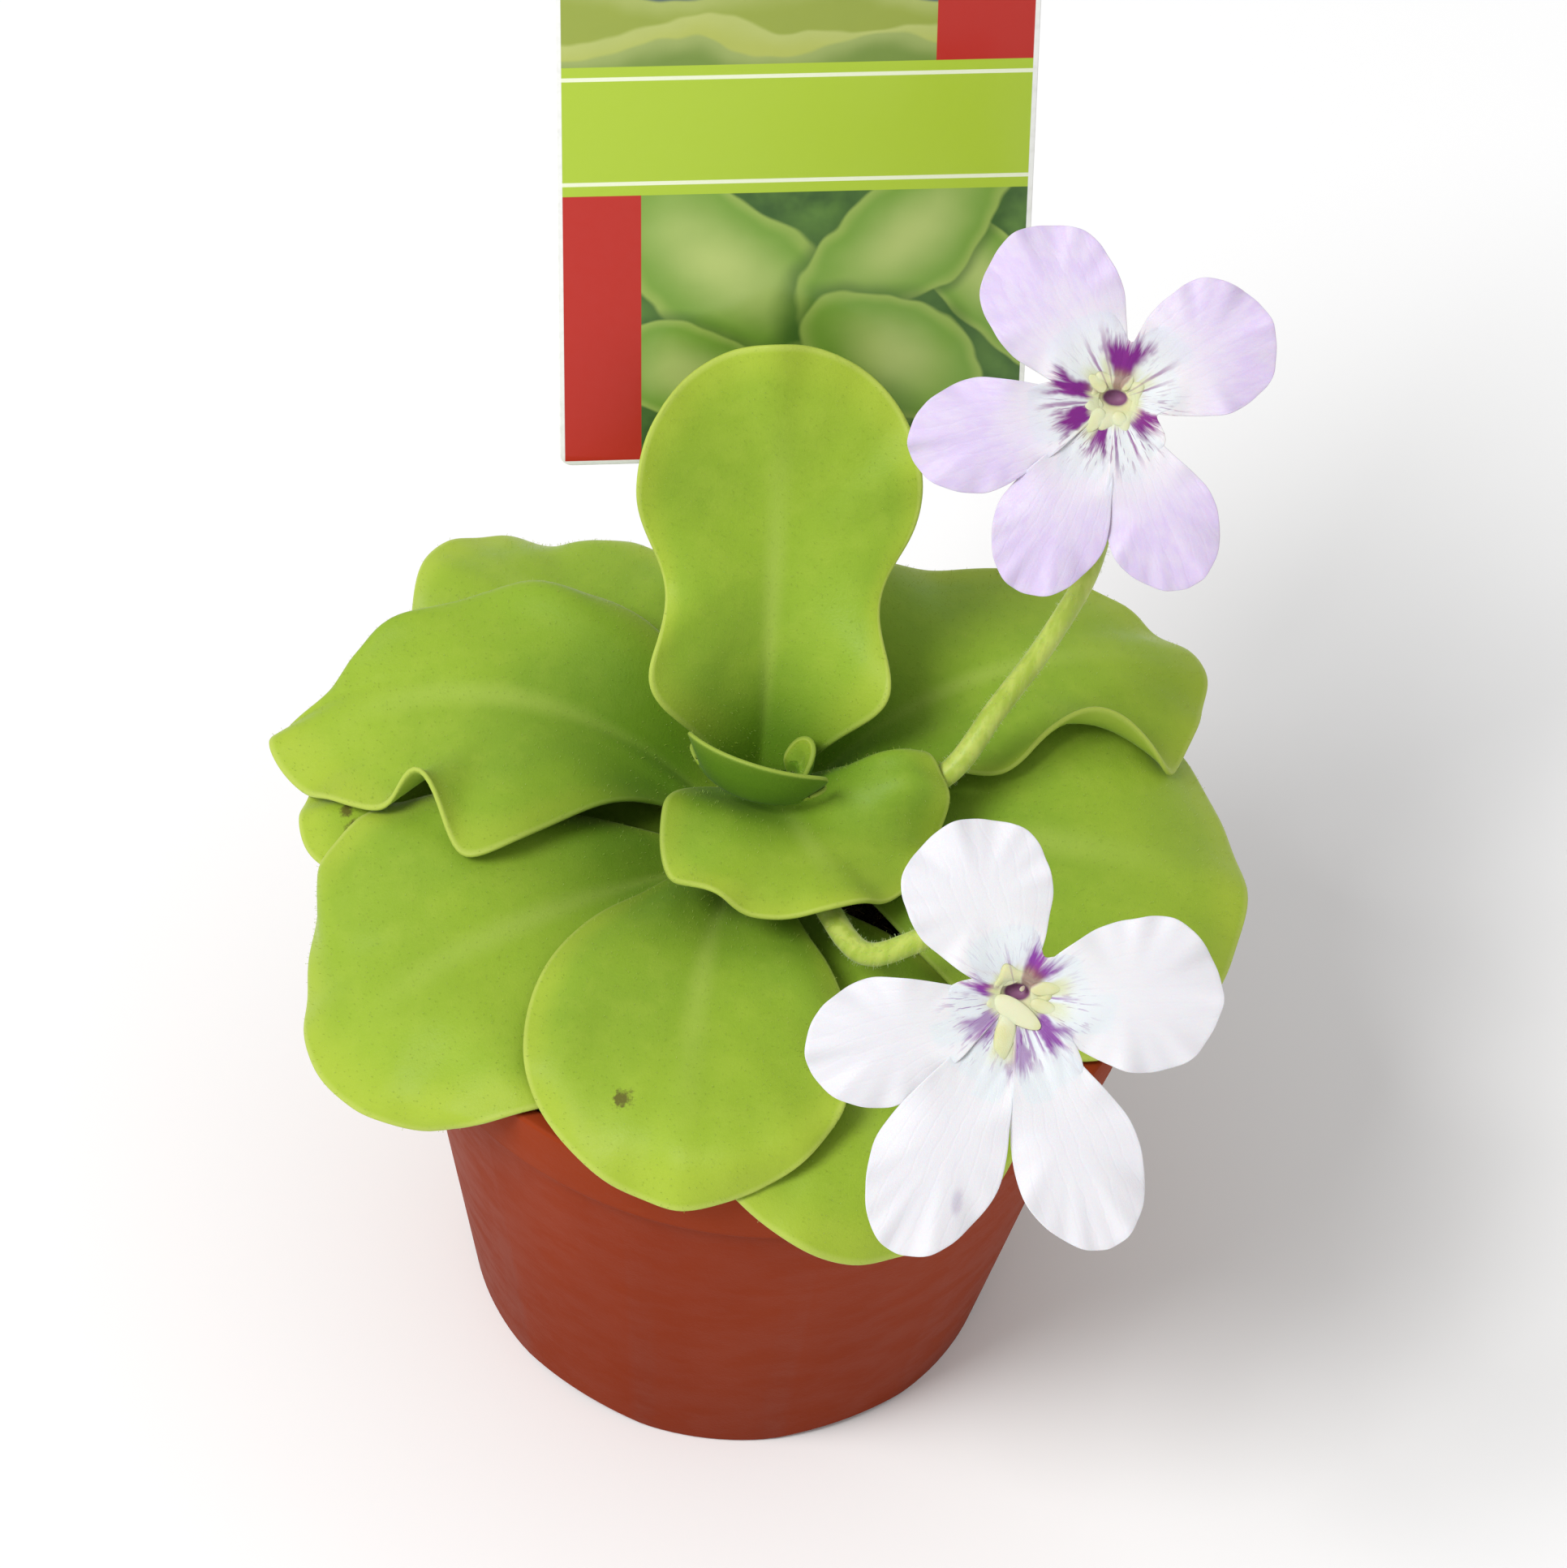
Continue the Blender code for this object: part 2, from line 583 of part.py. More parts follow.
def make_pot(home, cutters):
    """A tapered pot with a rim band, drain holes in its floor and shallow arches under its foot."""
    top, band_foot = POT_HEIGHT, POT_HEIGHT - RIM_BAND
    profile = [
        (0, POT_FLOOR), (FLOOR_INSIDE, POT_FLOOR), (MOUTH_INSIDE, top - POT_EDGE),
        (MOUTH_INSIDE + POT_EDGE, top), (RIM_RADIUS - POT_EDGE, top), (RIM_RADIUS, top - POT_EDGE),
        (RIM_RADIUS - RIM_DRAFT, band_foot + POT_EDGE), (RIM_RADIUS - RIM_DRAFT - POT_EDGE, band_foot),
        (RIM_RADIUS - RIM_DRAFT - RIM_STEP, band_foot - POT_EDGE),
        (BASE_RADIUS, POT_EDGE), (BASE_RADIUS - POT_EDGE, 0), (0, 0),
    ]
    made = turned("pot", profile, POT_STEPS, home, material("clay_plastic", (0.27, 0.055, 0.026), 0.5))
    for k in range(DRAIN_HOLES):
        place = around_pot((k + 0.5) / DRAIN_HOLES, DRAIN_RING, POT_FLOOR / 2)
        cut(made, cylinder_cutter("drain_" + str(k), DRAIN_RADIUS, 3 * POT_FLOOR, place, cutters))
    arch_radius = (NOTCH_WIDTH ** 2 / 4 + NOTCH_HEIGHT ** 2) / (2 * NOTCH_HEIGHT)
    for k in range(FOOT_NOTCHES):
        place = around_pot((k + 0.5) / FOOT_NOTCHES - 0.25, BASE_RADIUS, NOTCH_HEIGHT - arch_radius)
        place = place @ Matrix.Rotation(pi / 2, 4, "Y")
        cut(made, cylinder_cutter("arch_" + str(k), arch_radius, 5 * POT_WALL, place, cutters, sides=96))
    return made


def pot_inside(height):
    """The pot's inner radius at a height."""
    share = (height - POT_FLOOR) / (POT_HEIGHT - POT_EDGE - POT_FLOOR)
    return FLOOR_INSIDE + (MOUTH_INSIDE - FLOOR_INSIDE) * share


def card_frame():
    """The label's frame: X across the card, Y up it and Z out of its face, from the middle of its foot."""
    frame = (Matrix.Rotation(radians(CARD_YAW), 4, "Z") @ Matrix.Rotation(radians(90 - CARD_LEAN), 4, "X")
             @ Matrix.Rotation(radians(CARD_TILT), 4, "Z"))
    frame.translation = CARD_FOOT
    return frame


def make_label(home):
    """A printed card and its pointed stake, cut from one sheet of plastic."""
    half, stake, tip = CARD_WIDTH / 2, STAKE_WIDTH / 2, STAKE_TIP / 2
    outline = [(stake, 0), (stake, STAKE_POINT - STAKE_DEPTH), (tip, -STAKE_DEPTH), (-tip, -STAKE_DEPTH),
               (-stake, STAKE_POINT - STAKE_DEPTH), (-stake, 0)]
    for x, y, first in ((-half, 0, 270), (-half, CARD_HEIGHT, 180), (half, CARD_HEIGHT, 90), (half, 0, 0)):
        centre_x = x - CARD_CORNER * (1 if x > 0 else -1)
        centre_y = y - CARD_CORNER * (1 if y > 0 else -1)
        for step in range(4):
            a = radians(first - 30 * step)
            outline.append((centre_x + CARD_CORNER * cos(a), centre_y + CARD_CORNER * sin(a)))
    curve = bpy.data.curves.new("label", "CURVE")
    curve.dimensions = "2D"
    curve.fill_mode = "BOTH"
    curve.extrude = CARD_THICKNESS / 2
    spline = curve.splines.new("POLY")
    spline.points.add(len(outline) - 1)
    for knot, (x, y) in zip(spline.points, outline):
        knot.co = (x, y, 0, 1)
    spline.use_cyclic_u = True
    made = add_object("label", curve, home)
    made.matrix_world = card_frame()
    made_plain(made, home, material("label_card", (0.9, 0.9, 0.9), 0.35))


def make_soil(home, cutters):
    """The soil: a plug with a bumpy top, and plain holes where the plant and the label stand."""
    wall = pot_inside(SOIL_LEVEL) - 2 * GAP
    low = POT_FLOOR + GAP
    profile = [(wall * k / SOIL_RINGS, SOIL_LEVEL) for k in range(SOIL_RINGS + 1)]
    profile += [(pot_inside(low) - 2 * GAP, low), (0, low)]
    made = turned("soil", profile, POT_STEPS, home, material("soil_brown", (0.05, 0.03, 0.018), 0.9))
    for vertex in made.data.vertices:
        x, y, z = vertex.co
        if z > SOIL_LEVEL - GAP:
            fade = 1 - min(1, (Vector((x, y)).length / wall) ** 6)
            wave = sin(310 * x + 1) * cos(270 * y) + 0.6 * sin(520 * x + 410 * y) + 0.4 * cos(800 * y - 350 * x)
            vertex.co.z = SOIL_LEVEL + SOIL_BUMP * fade * wave
    deep = 2 * (SOIL_LEVEL - CROWN_FOOT)
    place = Matrix.Translation((CROWN_X, CROWN_Y, CROWN_FOOT - GAP + deep / 2))
    cut(made, cylinder_cutter("crown_hole", CROWN_FOOT_RADIUS + GAP, deep, place, cutters))
    slot = (STAKE_WIDTH + 2 * GAP, STAKE_DEPTH + 2 * GAP, CARD_THICKNESS + 2 * GAP)
    place = card_frame() @ Matrix.Translation((0, -STAKE_DEPTH / 2, 0))
    cut(made, box_cutter("label_slot", slot, place, cutters))
    return made


def make_crown(home):
    """The short stem that the leaves grow from, with its foot in the soil."""
    rise = CROWN_TOP - CROWN_FOOT
    profile = [
        (0, CROWN_TOP), (CROWN_TOP_RADIUS * 0.9, CROWN_TOP), (CROWN_TOP_RADIUS, CROWN_FOOT + rise * 0.98),
        (CROWN_TOP_RADIUS, CROWN_FOOT + rise * 0.62), (CROWN_FOOT_RADIUS, CROWN_FOOT + rise * 0.4),
        (CROWN_FOOT_RADIUS * 0.8, CROWN_FOOT), (0, CROWN_FOOT),
    ]
    made = turned("crown", profile, 20, home, material("crown_pale", (0.35, 0.42, 0.12), 0.6))
    made.location = (CROWN_X, CROWN_Y, 0)
    return made


def main():
    fresh_start()
    plant = collection("potted_butterwort")
    cutters = collection("cutters")
    pot = make_pot(plant, cutters)
    soil = make_soil(plant, cutters)
    crown = make_crown(plant)
    make_label(plant)
    make_plant(plant, [search_tree(pot), search_tree(soil), search_tree(crown)])


main()
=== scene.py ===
# %% [markdown]
# # A potted butterwort
#
# The plant is a rosette of soft, fleshy leaves round a short crown, in a clay-coloured nursery pot of
# peat. Two bent stems carry a lilac bloom and a white one, and a printed card stands behind them.
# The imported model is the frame: it says where every piece is and how large. This lesson makes each
# piece again as finely as the eye sees it, and then gives it its finish.

# %% The frame and the tools
from math import cos, pi, radians, sin

import bmesh
import bpy
import numpy as np
from mathutils import Matrix, Vector
from mathutils.bvhtree import BVHTree


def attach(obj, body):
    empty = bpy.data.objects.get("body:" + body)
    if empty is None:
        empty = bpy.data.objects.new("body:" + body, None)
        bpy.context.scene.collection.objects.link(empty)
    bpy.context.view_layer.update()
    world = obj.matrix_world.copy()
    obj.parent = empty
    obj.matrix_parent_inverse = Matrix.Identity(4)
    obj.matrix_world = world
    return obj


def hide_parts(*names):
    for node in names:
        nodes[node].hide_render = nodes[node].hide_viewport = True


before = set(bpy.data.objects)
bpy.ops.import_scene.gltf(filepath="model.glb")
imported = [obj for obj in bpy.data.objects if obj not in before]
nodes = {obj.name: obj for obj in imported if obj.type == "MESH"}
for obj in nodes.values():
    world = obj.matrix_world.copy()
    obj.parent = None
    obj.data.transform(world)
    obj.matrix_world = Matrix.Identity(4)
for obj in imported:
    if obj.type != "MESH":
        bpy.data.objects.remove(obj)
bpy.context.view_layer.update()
MM = 0.001

# %% [markdown]
# ## Short words for material nodes
#
# A finish is a small network of nodes: some read a place on the piece, some make noise from it, and
# some turn the result into colour, gloss or a bump. Wiring every node by hand makes long scripts that
# are hard to follow. So each kind of node gets one short function here, what it gives can be added and
# multiplied like a number, and a finish further down reads like a recipe.

# %% Short words for material nodes
class Field:
    """What a node gives at every point. Fields add up and multiply as numbers do."""

    def __init__(self, socket):
        self.socket, self.tree = socket, socket.id_data

    def __add__(self, other):
        return calc("ADD", self, other)

    def __sub__(self, other):
        return calc("SUBTRACT", self, other)

    def __rsub__(self, other):
        return calc("SUBTRACT", other, self)

    def __mul__(self, other):
        return calc("MULTIPLY", self, other)

    def __truediv__(self, other):
        return calc("DIVIDE", self, other)

    def __abs__(self):
        return calc("ABSOLUTE", self)


def feed(tree, socket, value):
    """Links a socket to a field or another socket, or sets its value."""
    value = value.socket if isinstance(value, Field) else value
    if isinstance(value, bpy.types.NodeSocket):
        tree.links.new(value, socket)
    else:
        socket.default_value = value


def step(tree, kind, given=None, **settings):
    """One node of a tree, with what its sockets are given."""
    made = tree.nodes.new(kind)
    for name, value in settings.items():
        setattr(made, name, value)
    for key, value in (given or {}).items():
        feed(tree, made.inputs[key], value)
    return made


def read(tree, kind, given=None, output=0, **settings):
    """What a new node gives."""
    return Field(step(tree, kind, given, **settings).outputs[output])


def calc(operation, *values):
    tree = next(value.tree for value in values if isinstance(value, Field))
    return read(tree, "ShaderNodeMath", dict(enumerate(values)), operation=operation)


def eased(value, start, end, low=0.0, high=1.0):
    """Low before the start and high after the end, with a soft passage between them."""
    given = dict(enumerate((value, start, end, low, high)))
    return read(value.tree, "ShaderNodeMapRange", given, interpolation_type="SMOOTHSTEP")


def layered(colour, *coats):
    """A colour with others laid over it in turn, each where its share is 1."""
    for share, coat in coats:
        pair = [(*each, 1) if isinstance(each, tuple) else each for each in (colour, coat)]
        colour = read(share.tree, "ShaderNodeMix", {0: share, 6: pair[0], 7: pair[1]}, 2, data_type="RGBA")
    return colour


def cloudy(place, scale, detail=2.0, roughness=0.5):
    given = {"Vector": place, "Scale": scale, "Detail": detail, "Roughness": roughness}
    return read(place.tree, "ShaderNodeTexNoise", given)


def carried(tree, *names):
    """Numbers that the mesh carries at its points."""
    return [read(tree, "ShaderNodeAttribute", output="Fac", attribute_name=name) for name in names]


def scaled(place, scale):
    return read(place.tree, "ShaderNodeMapping", {"Vector": place, "Scale": scale})


def axes_of(place):
    return [Field(axis) for axis in step(place.tree, "ShaderNodeSeparateXYZ", {0: place}).outputs]


def distance_to(place, centre):
    return read(place.tree, "ShaderNodeVectorMath", {0: place, 1: centre}, "Value", operation="DISTANCE")


def length_of(x, y):
    return calc("SQRT", x * x + y * y)


def new_finish(name, **settings):
    """A material and its Object coordinates, with what is the same all over set on the shader."""
    made = bpy.data.materials.new(name)
    made.use_nodes = True
    for label, value in settings.items():
        made.node_tree.nodes["Principled BSDF"].inputs[label.replace("_", " ")].default_value = value
    return made, read(made.node_tree, "ShaderNodeTexCoord", output="Object")


def painted(made, colour, roughness=None, relief=None, strength=0.0, distance=0.0):
    """The material with its colour, roughness and bumps joined to its shader."""
    tree = made.node_tree
    joints = {"Base Color": colour, "Roughness": roughness}
    if relief:
        bump = step(tree, "ShaderNodeBump", {"Height": relief, "Strength": strength, "Distance": distance})
        joints["Normal"] = bump.outputs[0]
    for label, value in joints.items():
        if value:
            feed(tree, tree.nodes["Principled BSDF"].inputs[label], value)
    return made


print("material words ready")

# %% [markdown]
# ## Short words for meshes
#
# Every piece ends as one closed mesh whose object sits at the origin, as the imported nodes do. Three
# kinds of shape cover the whole plant: turned ones such as the pot, tubes that follow a route such as
# the stems, and thin fleshy sheets such as leaves and petals. All three are grids of points, so numpy
# places the points and one function here closes the grid into a mesh.

# %% Short words for meshes
def smooth_faces(mesh):
    mesh.polygons.foreach_set("use_smooth", [True] * len(mesh.polygons))
    return mesh


def made_mesh(name, points, faces, carries=None):
    """A smooth mesh in metres whose faces point outwards, with the numbers that its points carry."""
    mesh = bpy.data.meshes.new(name)
    mesh.from_pydata([tuple(p) for p in points], [], faces)
    for label, values in (carries or {}).items():
        layer = mesh.attributes.new(label, "FLOAT", "POINT")
        layer.data.foreach_set("value", np.asarray(values, np.float32))
    shell = bmesh.new()
    shell.from_mesh(mesh)
    bmesh.ops.recalc_face_normals(shell, faces=shell.faces)
    shell.to_mesh(mesh)
    shell.free()
    return smooth_faces(mesh)


def unit(vectors):
    return vectors / np.linalg.norm(vectors, axis=-1, keepdims=True)


def all_round(count):
    """Angles spaced evenly round a turn."""
    return np.arange(count) * 2 * pi / count


def ring(radius, around, height):
    """Points round the Z axis, at one height or at one for each."""
    return np.stack([radius * np.cos(around), radius * np.sin(around), height + 0 * around], -1)


def ring_faces(rings, sides):
    """Quads between rings of points, each ring joined to the next, and a pole at both ends."""
    faces = []
    for k in range(rings - 1):
        for s in range(sides):
            t = (s + 1) % sides
            faces.append((k * sides + s, k * sides + t, (k + 1) * sides + t, (k + 1) * sides + s))
    first, last = rings * sides, rings * sides + 1
    for s in range(sides):
        t = (s + 1) % sides
        faces.append((first, t, s))
        faces.append((last, (rings - 1) * sides + s, (rings - 1) * sides + t))
    return faces


def turned(profile, steps, lift=None):
    """Points and faces turned from (radius, height) points. Both its ends are on the axis."""
    around = all_round(steps)
    rings = [ring(radius, around, lift(radius, height, around) if lift else height)
             for radius, height in profile[1:-1]]
    poles = [(0, 0, profile[0][1]), (0, 0, profile[-1][1])]
    return np.vstack([*rings, poles]), ring_faces(len(rings), steps)


def filleted(corners, steps=5):
    """A profile whose corners, given as (radius, height, fillet), are rounded by arcs."""
    profile = [corners[0][:2]]
    for before, (x, y, size), after in zip(corners, corners[1:-1], corners[2:]):
        here = Vector((x, y))
        a = (Vector(before[:2]) - here).normalized()
        b = (Vector(after[:2]) - here).normalized()
        if not size:
            profile.append((x, y))
            continue
        half = a.angle(b) / 2
        reach = size / np.tan(half)
        middle = here + (a + b).normalized() * (size / np.sin(half))
        start, end = here + a * reach - middle, here + b * reach - middle
        sweep = start.angle_signed(end)
        for k in range(steps + 1):
            turn = Matrix.Rotation(-sweep * k / steps, 2)
            profile.append(tuple(middle + turn @ start))
    return profile + [corners[-1][:2]]


def smooth_route(knots, count):
    """Points spaced along a smooth curve through the knots."""
    knots = np.array(knots, float)
    padded = np.vstack([2 * knots[0] - knots[1], knots, 2 * knots[-1] - knots[-2]])
    route = []
    for share in np.linspace(0, len(knots) - 1, count):
        k = min(int(share), len(knots) - 2)
        t = share - k
        a, b, c, d = padded[k:k + 4]
        route.append(0.5 * (2 * b + (c - a) * t + (2 * a - 5 * b + 4 * c - d) * t * t
                            + (3 * b - a - 3 * c + d) * t ** 3))
    return np.array(route)


def tube(route, radii, sides):
    """Points and faces of a round tube along a route, closed at both ends."""
    steps = unit(np.gradient(route, axis=0))
    out = np.cross(steps[0], (0.3, 0.2, 0.9))
    rings = []
    turns = all_round(sides)
    for place, step, radius in zip(route, steps, radii):
        out = unit(out - step * out.dot(step))
        side = np.cross(step, out)
        rings.append(place + radius * (np.outer(np.cos(turns), out) + np.outer(np.sin(turns), side)))
    return np.vstack([*rings, route[:1], route[-1:]]), ring_faces(len(route), sides)


def joined(parts):
    """One list of points and one of faces from several."""
    points, faces, start = [], [], 0
    for more, others in parts:
        points.append(more)
        faces += [tuple(start + k for k in face) for face in others]
        start += len(more)
    return np.vstack(points), faces


def plain_form(name, build, **sizes):
    """A plain form from one of bmesh's own builders."""
    shell = bmesh.new()
    build(shell, **sizes)
    mesh = bpy.data.meshes.new(name)
    shell.to_mesh(mesh)
    shell.free()
    return mesh


def loose_object(name, data):
    made = bpy.data.objects.new(name, data)
    bpy.context.scene.collection.objects.link(made)
    return made


def add_piece(name, mesh, finish, slot, *stands_for):
    """A finished piece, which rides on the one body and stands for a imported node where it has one."""
    made = loose_object(name, mesh)
    mesh.materials.clear()
    mesh.materials.append(finish)
    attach(made, "root")
    if stands_for:
        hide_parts(*stands_for)
    print(name, "faces:", len(mesh.polygons))


def evaluated_mesh(made):
    """What an object's modifiers make of it, as a plain mesh. The object is removed."""
    bpy.context.view_layer.update()
    mesh = bpy.data.meshes.new_from_object(made.evaluated_get(bpy.context.evaluated_depsgraph_get()))
    bpy.data.objects.remove(made)
    return mesh


print("mesh words ready")

# %% [markdown]
# ## Short words for geometry nodes
#
# Crumbs of soil, fibres and gland hairs repeat by the thousand. Placing them one by one would be slow
# and would say nothing about how they lie. A small tree of geometry nodes scatters points over a
# surface, puts a copy on each and makes the copies real. Its inputs have names, so that one tree serves
# several surfaces with other sizes, and its seed is fixed, so that every run gives the same plant.

# %% Short words for geometry nodes
EVERY_TREE_HAS = (("Surface", "Geometry"), ("Density", "Float"), ("Least size", "Float"), ("Seed", "Int"))
UPPER_SIDE = 0.95


def growing_tree(name, *own):
    """A tree with a surface to grow on, the numbers that every tree has and its own."""
    tree = bpy.data.node_groups.new(name, "GeometryNodeTree")
    for label, kind in (*EVERY_TREE_HAS, *own):
        tree.interface.new_socket(label, in_out="INPUT", socket_type="NodeSocket" + kind)
    tree.interface.new_socket("Result", in_out="OUTPUT", socket_type="NodeSocketGeometry")
    return tree, tree.nodes.new("NodeGroupInput").outputs


def scattered(tree, given, lean):
    """Points on the faces that carry upper as 1, each with its turn and a random size."""
    share = read(tree, "GeometryNodeInputNamedAttribute", {"Name": "upper"}, data_type="FLOAT")
    here = read(tree, "FunctionNodeCompare", {0: share, 1: UPPER_SIDE},
                data_type="FLOAT", operation="GREATER_THAN")
    spots = step(tree, "GeometryNodeDistributePointsOnFaces",
                 {"Mesh": given["Surface"], "Selection": here, "Density": given["Density"],
                  "Seed": given["Seed"]}).outputs
    size = read(tree, "FunctionNodeRandomValue", {2: given["Least size"], 3: 1.0, 8: given["Seed"]}, 1)
    tilt = read(tree, "FunctionNodeRandomValue",
                {0: (-lean, -lean, -pi), 1: (lean, lean, pi), 8: given["Seed"]}, data_type="FLOAT_VECTOR")
    turned_by = read(tree, "FunctionNodeRotateRotation", {0: spots["Rotation"], 1: tilt},
                     rotation_space="LOCAL")
    return {"Points": spots["Points"], "Rotation": turned_by, "Scale": size}


def stood(tree, spots, shape, **more):
    """Real copies of a shape, one on each point."""
    copies = read(tree, "GeometryNodeInstanceOnPoints", {**spots, "Instance": shape, **more})
    return read(tree, "GeometryNodeRealizeInstances", {0: copies})


def stretched(tree, vector, share):
    return read(tree, "ShaderNodeVectorMath", {0: vector, "Scale": share}, operation="SCALE")


def ended(tree, real, finish):
    """The last nodes of a tree of real copies: their material, and the way out."""
    finished = read(tree, "GeometryNodeSetMaterial", {"Geometry": real, "Material": finish})
    step(tree, "NodeGroupOutput", {0: finished})
    return tree


def grown(name, surface, tree, **numbers):
    """What a tree grows on a surface, as a plain mesh. Numbers are set by each socket's identifier."""
    carrier = loose_object(name, surface)
    growth = carrier.modifiers.new("growth", "NODES")
    growth.node_group = tree
    for item in tree.interface.items_tree:
        label = item.name.replace(" ", "_")
        if item.in_out == "INPUT" and label in numbers:
            growth[item.identifier] = numbers[label]
    return smooth_faces(evaluated_mesh(carrier))


print("growing words ready")

# %% [markdown]
# ## The pot
#
# A nursery pot is thin polypropylene, moulded in one shot: a tapered wall, a taller band at the rim
# that stiffens it, a floor with drain holes, and shallow arches under its foot that let water out.
# It could be a cylinder with modifiers, but turning a profile gives the wall, the band and every
# rounded edge at once. The arches are a rule too: points near the foot are lifted onto a wide circle.

# %% The pot's sizes
POT_HEIGHT = 68 * MM
POT_WALL = 1.4 * MM
POT_FLOOR = 1.8 * MM
POT_EDGE = 0.6 * MM
RIM_RADIUS = 45 * MM
RIM_BAND = 9 * MM
RIM_DRAFT = 0.8 * MM
RIM_STEP = 2.2 * MM
BASE_RADIUS = 32 * MM
POT_STEPS = 144
POT_CREASE = radians(40)
FILLET = 0.5 * MM
FLOOR_FILLET = 1.2 * MM
FOOT_NOTCHES = 6
NOTCH_HEIGHT = 1 * MM
NOTCH_WIDTH = 22 * MM
NOTCH_INNER = BASE_RADIUS - 2.5 * POT_WALL
DRAIN_HOLES = 4
DRAIN_RADIUS = 3.5 * MM
DRAIN_RING = 18 * MM
MOUTH_INSIDE = RIM_RADIUS - RIM_DRAFT - POT_WALL
FLOOR_INSIDE = BASE_RADIUS - POT_WALL
INNER_EDGE = 0.05 * MM
ARCH_RADIUS = (NOTCH_WIDTH ** 2 / 4 + NOTCH_HEIGHT ** 2) / (2 * NOTCH_HEIGHT)

# %% The pot's shape
def foot_lift(radius, height, around):
    """The foot's height round the pot, lifted by the arches outside their inner edge."""
    if height > NOTCH_HEIGHT or radius < NOTCH_INNER:
        return np.full(len(around), height)
    pitch = 2 * pi / FOOT_NOTCHES
    from_arch = (around - pitch * (0.5 - 0.25 * FOOT_NOTCHES)) % pitch
    from_arch = np.minimum(from_arch, pitch - from_arch)
    sideways = np.minimum(radius * np.sin(from_arch), NOTCH_WIDTH / 2)
    return np.maximum(height, NOTCH_HEIGHT - ARCH_RADIUS + np.sqrt(ARCH_RADIUS ** 2 - sideways ** 2))


def pot_profile():
    """The wall from the middle of the floor over the rim to the middle of the underside."""
    top, band_foot = POT_HEIGHT, POT_HEIGHT - RIM_BAND
    return filleted([
        (0, POT_FLOOR, 0), (FLOOR_INSIDE, POT_FLOOR, FLOOR_FILLET), (MOUTH_INSIDE, top, FILLET),
        (RIM_RADIUS, top, FILLET), (RIM_RADIUS - RIM_DRAFT, band_foot, FILLET),
        (RIM_RADIUS - RIM_DRAFT - RIM_STEP, band_foot - 0.5 * POT_EDGE, FILLET),
        (BASE_RADIUS, 0, FILLET), (NOTCH_INNER + INNER_EDGE, 0, 0), (NOTCH_INNER - INNER_EDGE, 0, 0),
        (0, 0, 0),
    ])


def cut_away(name, mesh, shapes):
    """A mesh with other closed shapes cut out of it."""
    made = loose_object(name, mesh)
    cutters = [loose_object(name + "_cutter_" + str(k), shape) for k, shape in enumerate(shapes)]
    for cutter in cutters:
        change = made.modifiers.new("cut", "BOOLEAN")
        change.operation = "DIFFERENCE"
        change.solver = "EXACT"
        change.object = cutter
    cut = evaluated_mesh(made)
    for cutter in cutters:
        bpy.data.objects.remove(cutter)
    return cut


def drill_shape(radius, length, place, sides=40):
    return plain_form("drill", bmesh.ops.create_cone, cap_ends=True, segments=sides, radius1=radius,
                      radius2=radius, depth=length, matrix=place)


def drain_shapes():
    """Plain round holes through the pot's floor."""
    shapes = []
    for k in range(DRAIN_HOLES):
        place = Matrix.Rotation(2 * pi * (k + 0.5) / DRAIN_HOLES, 4, "Z")
        place = place @ Matrix.Translation((DRAIN_RING, 0, POT_FLOOR / 2))
        shapes.append(drill_shape(DRAIN_RADIUS, 3 * POT_FLOOR, place))
    return shapes


pot_mesh = made_mesh("pot_blank", *turned(pot_profile(), POT_STEPS, foot_lift))
pot_mesh = cut_away("pot_blank", pot_mesh, drain_shapes())
pot_mesh.set_sharp_from_angle(angle=POT_CREASE)
print("pot points:", len(pot_mesh.vertices))

# %% [markdown]
# ## The pot's finish
#
# Cheap moulded plastic is never one even colour. The pigment streaks a little as it flows up the
# mould, the surface is finely grained, and handling leaves paler scuffs. The colour below is a base
# red brown, turned darker and paler by two noises of unlike size. Painted shade darkens it towards
# the foot and just under the rim band, and a painted highlight makes the band paler. The same grain
# drives a very small bump.

# %% The pot's finish
def clay_plastic():
    made, place = new_finish("clay_plastic", Specular_IOR_Level=0.03)
    flow = cloudy(scaled(place, (45, 45, 16)), 1.0)
    grain = cloudy(place, 2600, 3.0, 0.6)
    scuff = cloudy(scaled(place, (130, 130, 260)), 1.0, 6.0, 0.65)
    high = axes_of(place)[2]
    # Where the rim band lies, for its painted highlight and the painted shade just under it.
    band = eased(high, POT_HEIGHT - 1.05 * RIM_BAND, POT_HEIGHT - 0.9 * RIM_BAND)
    # Painted shade on the wall just under the rim band.
    painted_shade_under_band = (eased(high, POT_HEIGHT - 1.7 * RIM_BAND, POT_HEIGHT - 1.15 * RIM_BAND, 0.0, 0.35)
                  * (1 - band))
    colour = layered(
        (0.246, 0.029, 0.005),
        (eased(flow, 0.3, 0.7), (0.272, 0.036, 0.008)),
        # Painted shade, darker low on the wall towards the foot.
        (eased(high, 0.0, 0.05, 0.6, 0.0), (0.200, 0.024, 0.004)),
        # A painted highlight: the rim band a little paler.
        (band * 0.12, (0.36, 0.075, 0.028)),
        # Painted shade just under the rim band.
        (painted_shade_under_band, (0.12, 0.018, 0.006)),
        (eased(scuff, 0.6, 0.8, 0.0, 0.12), (0.38, 0.12, 0.065)))
    return painted(made, colour, eased(scuff, 0.35, 0.75, 0.46, 0.62), grain + scuff * 0.4, 0.2, 0.0002)


add_piece("pot_shell", pot_mesh, clay_plastic(), "clay_plastic", "pot")

# %% [markdown]
# ## The soil
#
# Butterworts grow in a loose, moist peat mix. Close up it is a bumpy bed of crumbs and short fibres,
# nearly black where it is wet. The bed is a turned plug whose top follows the same waves as the packed
# one, with finer waves on top, and the holes for the crown and the label's stake are cut out of it.

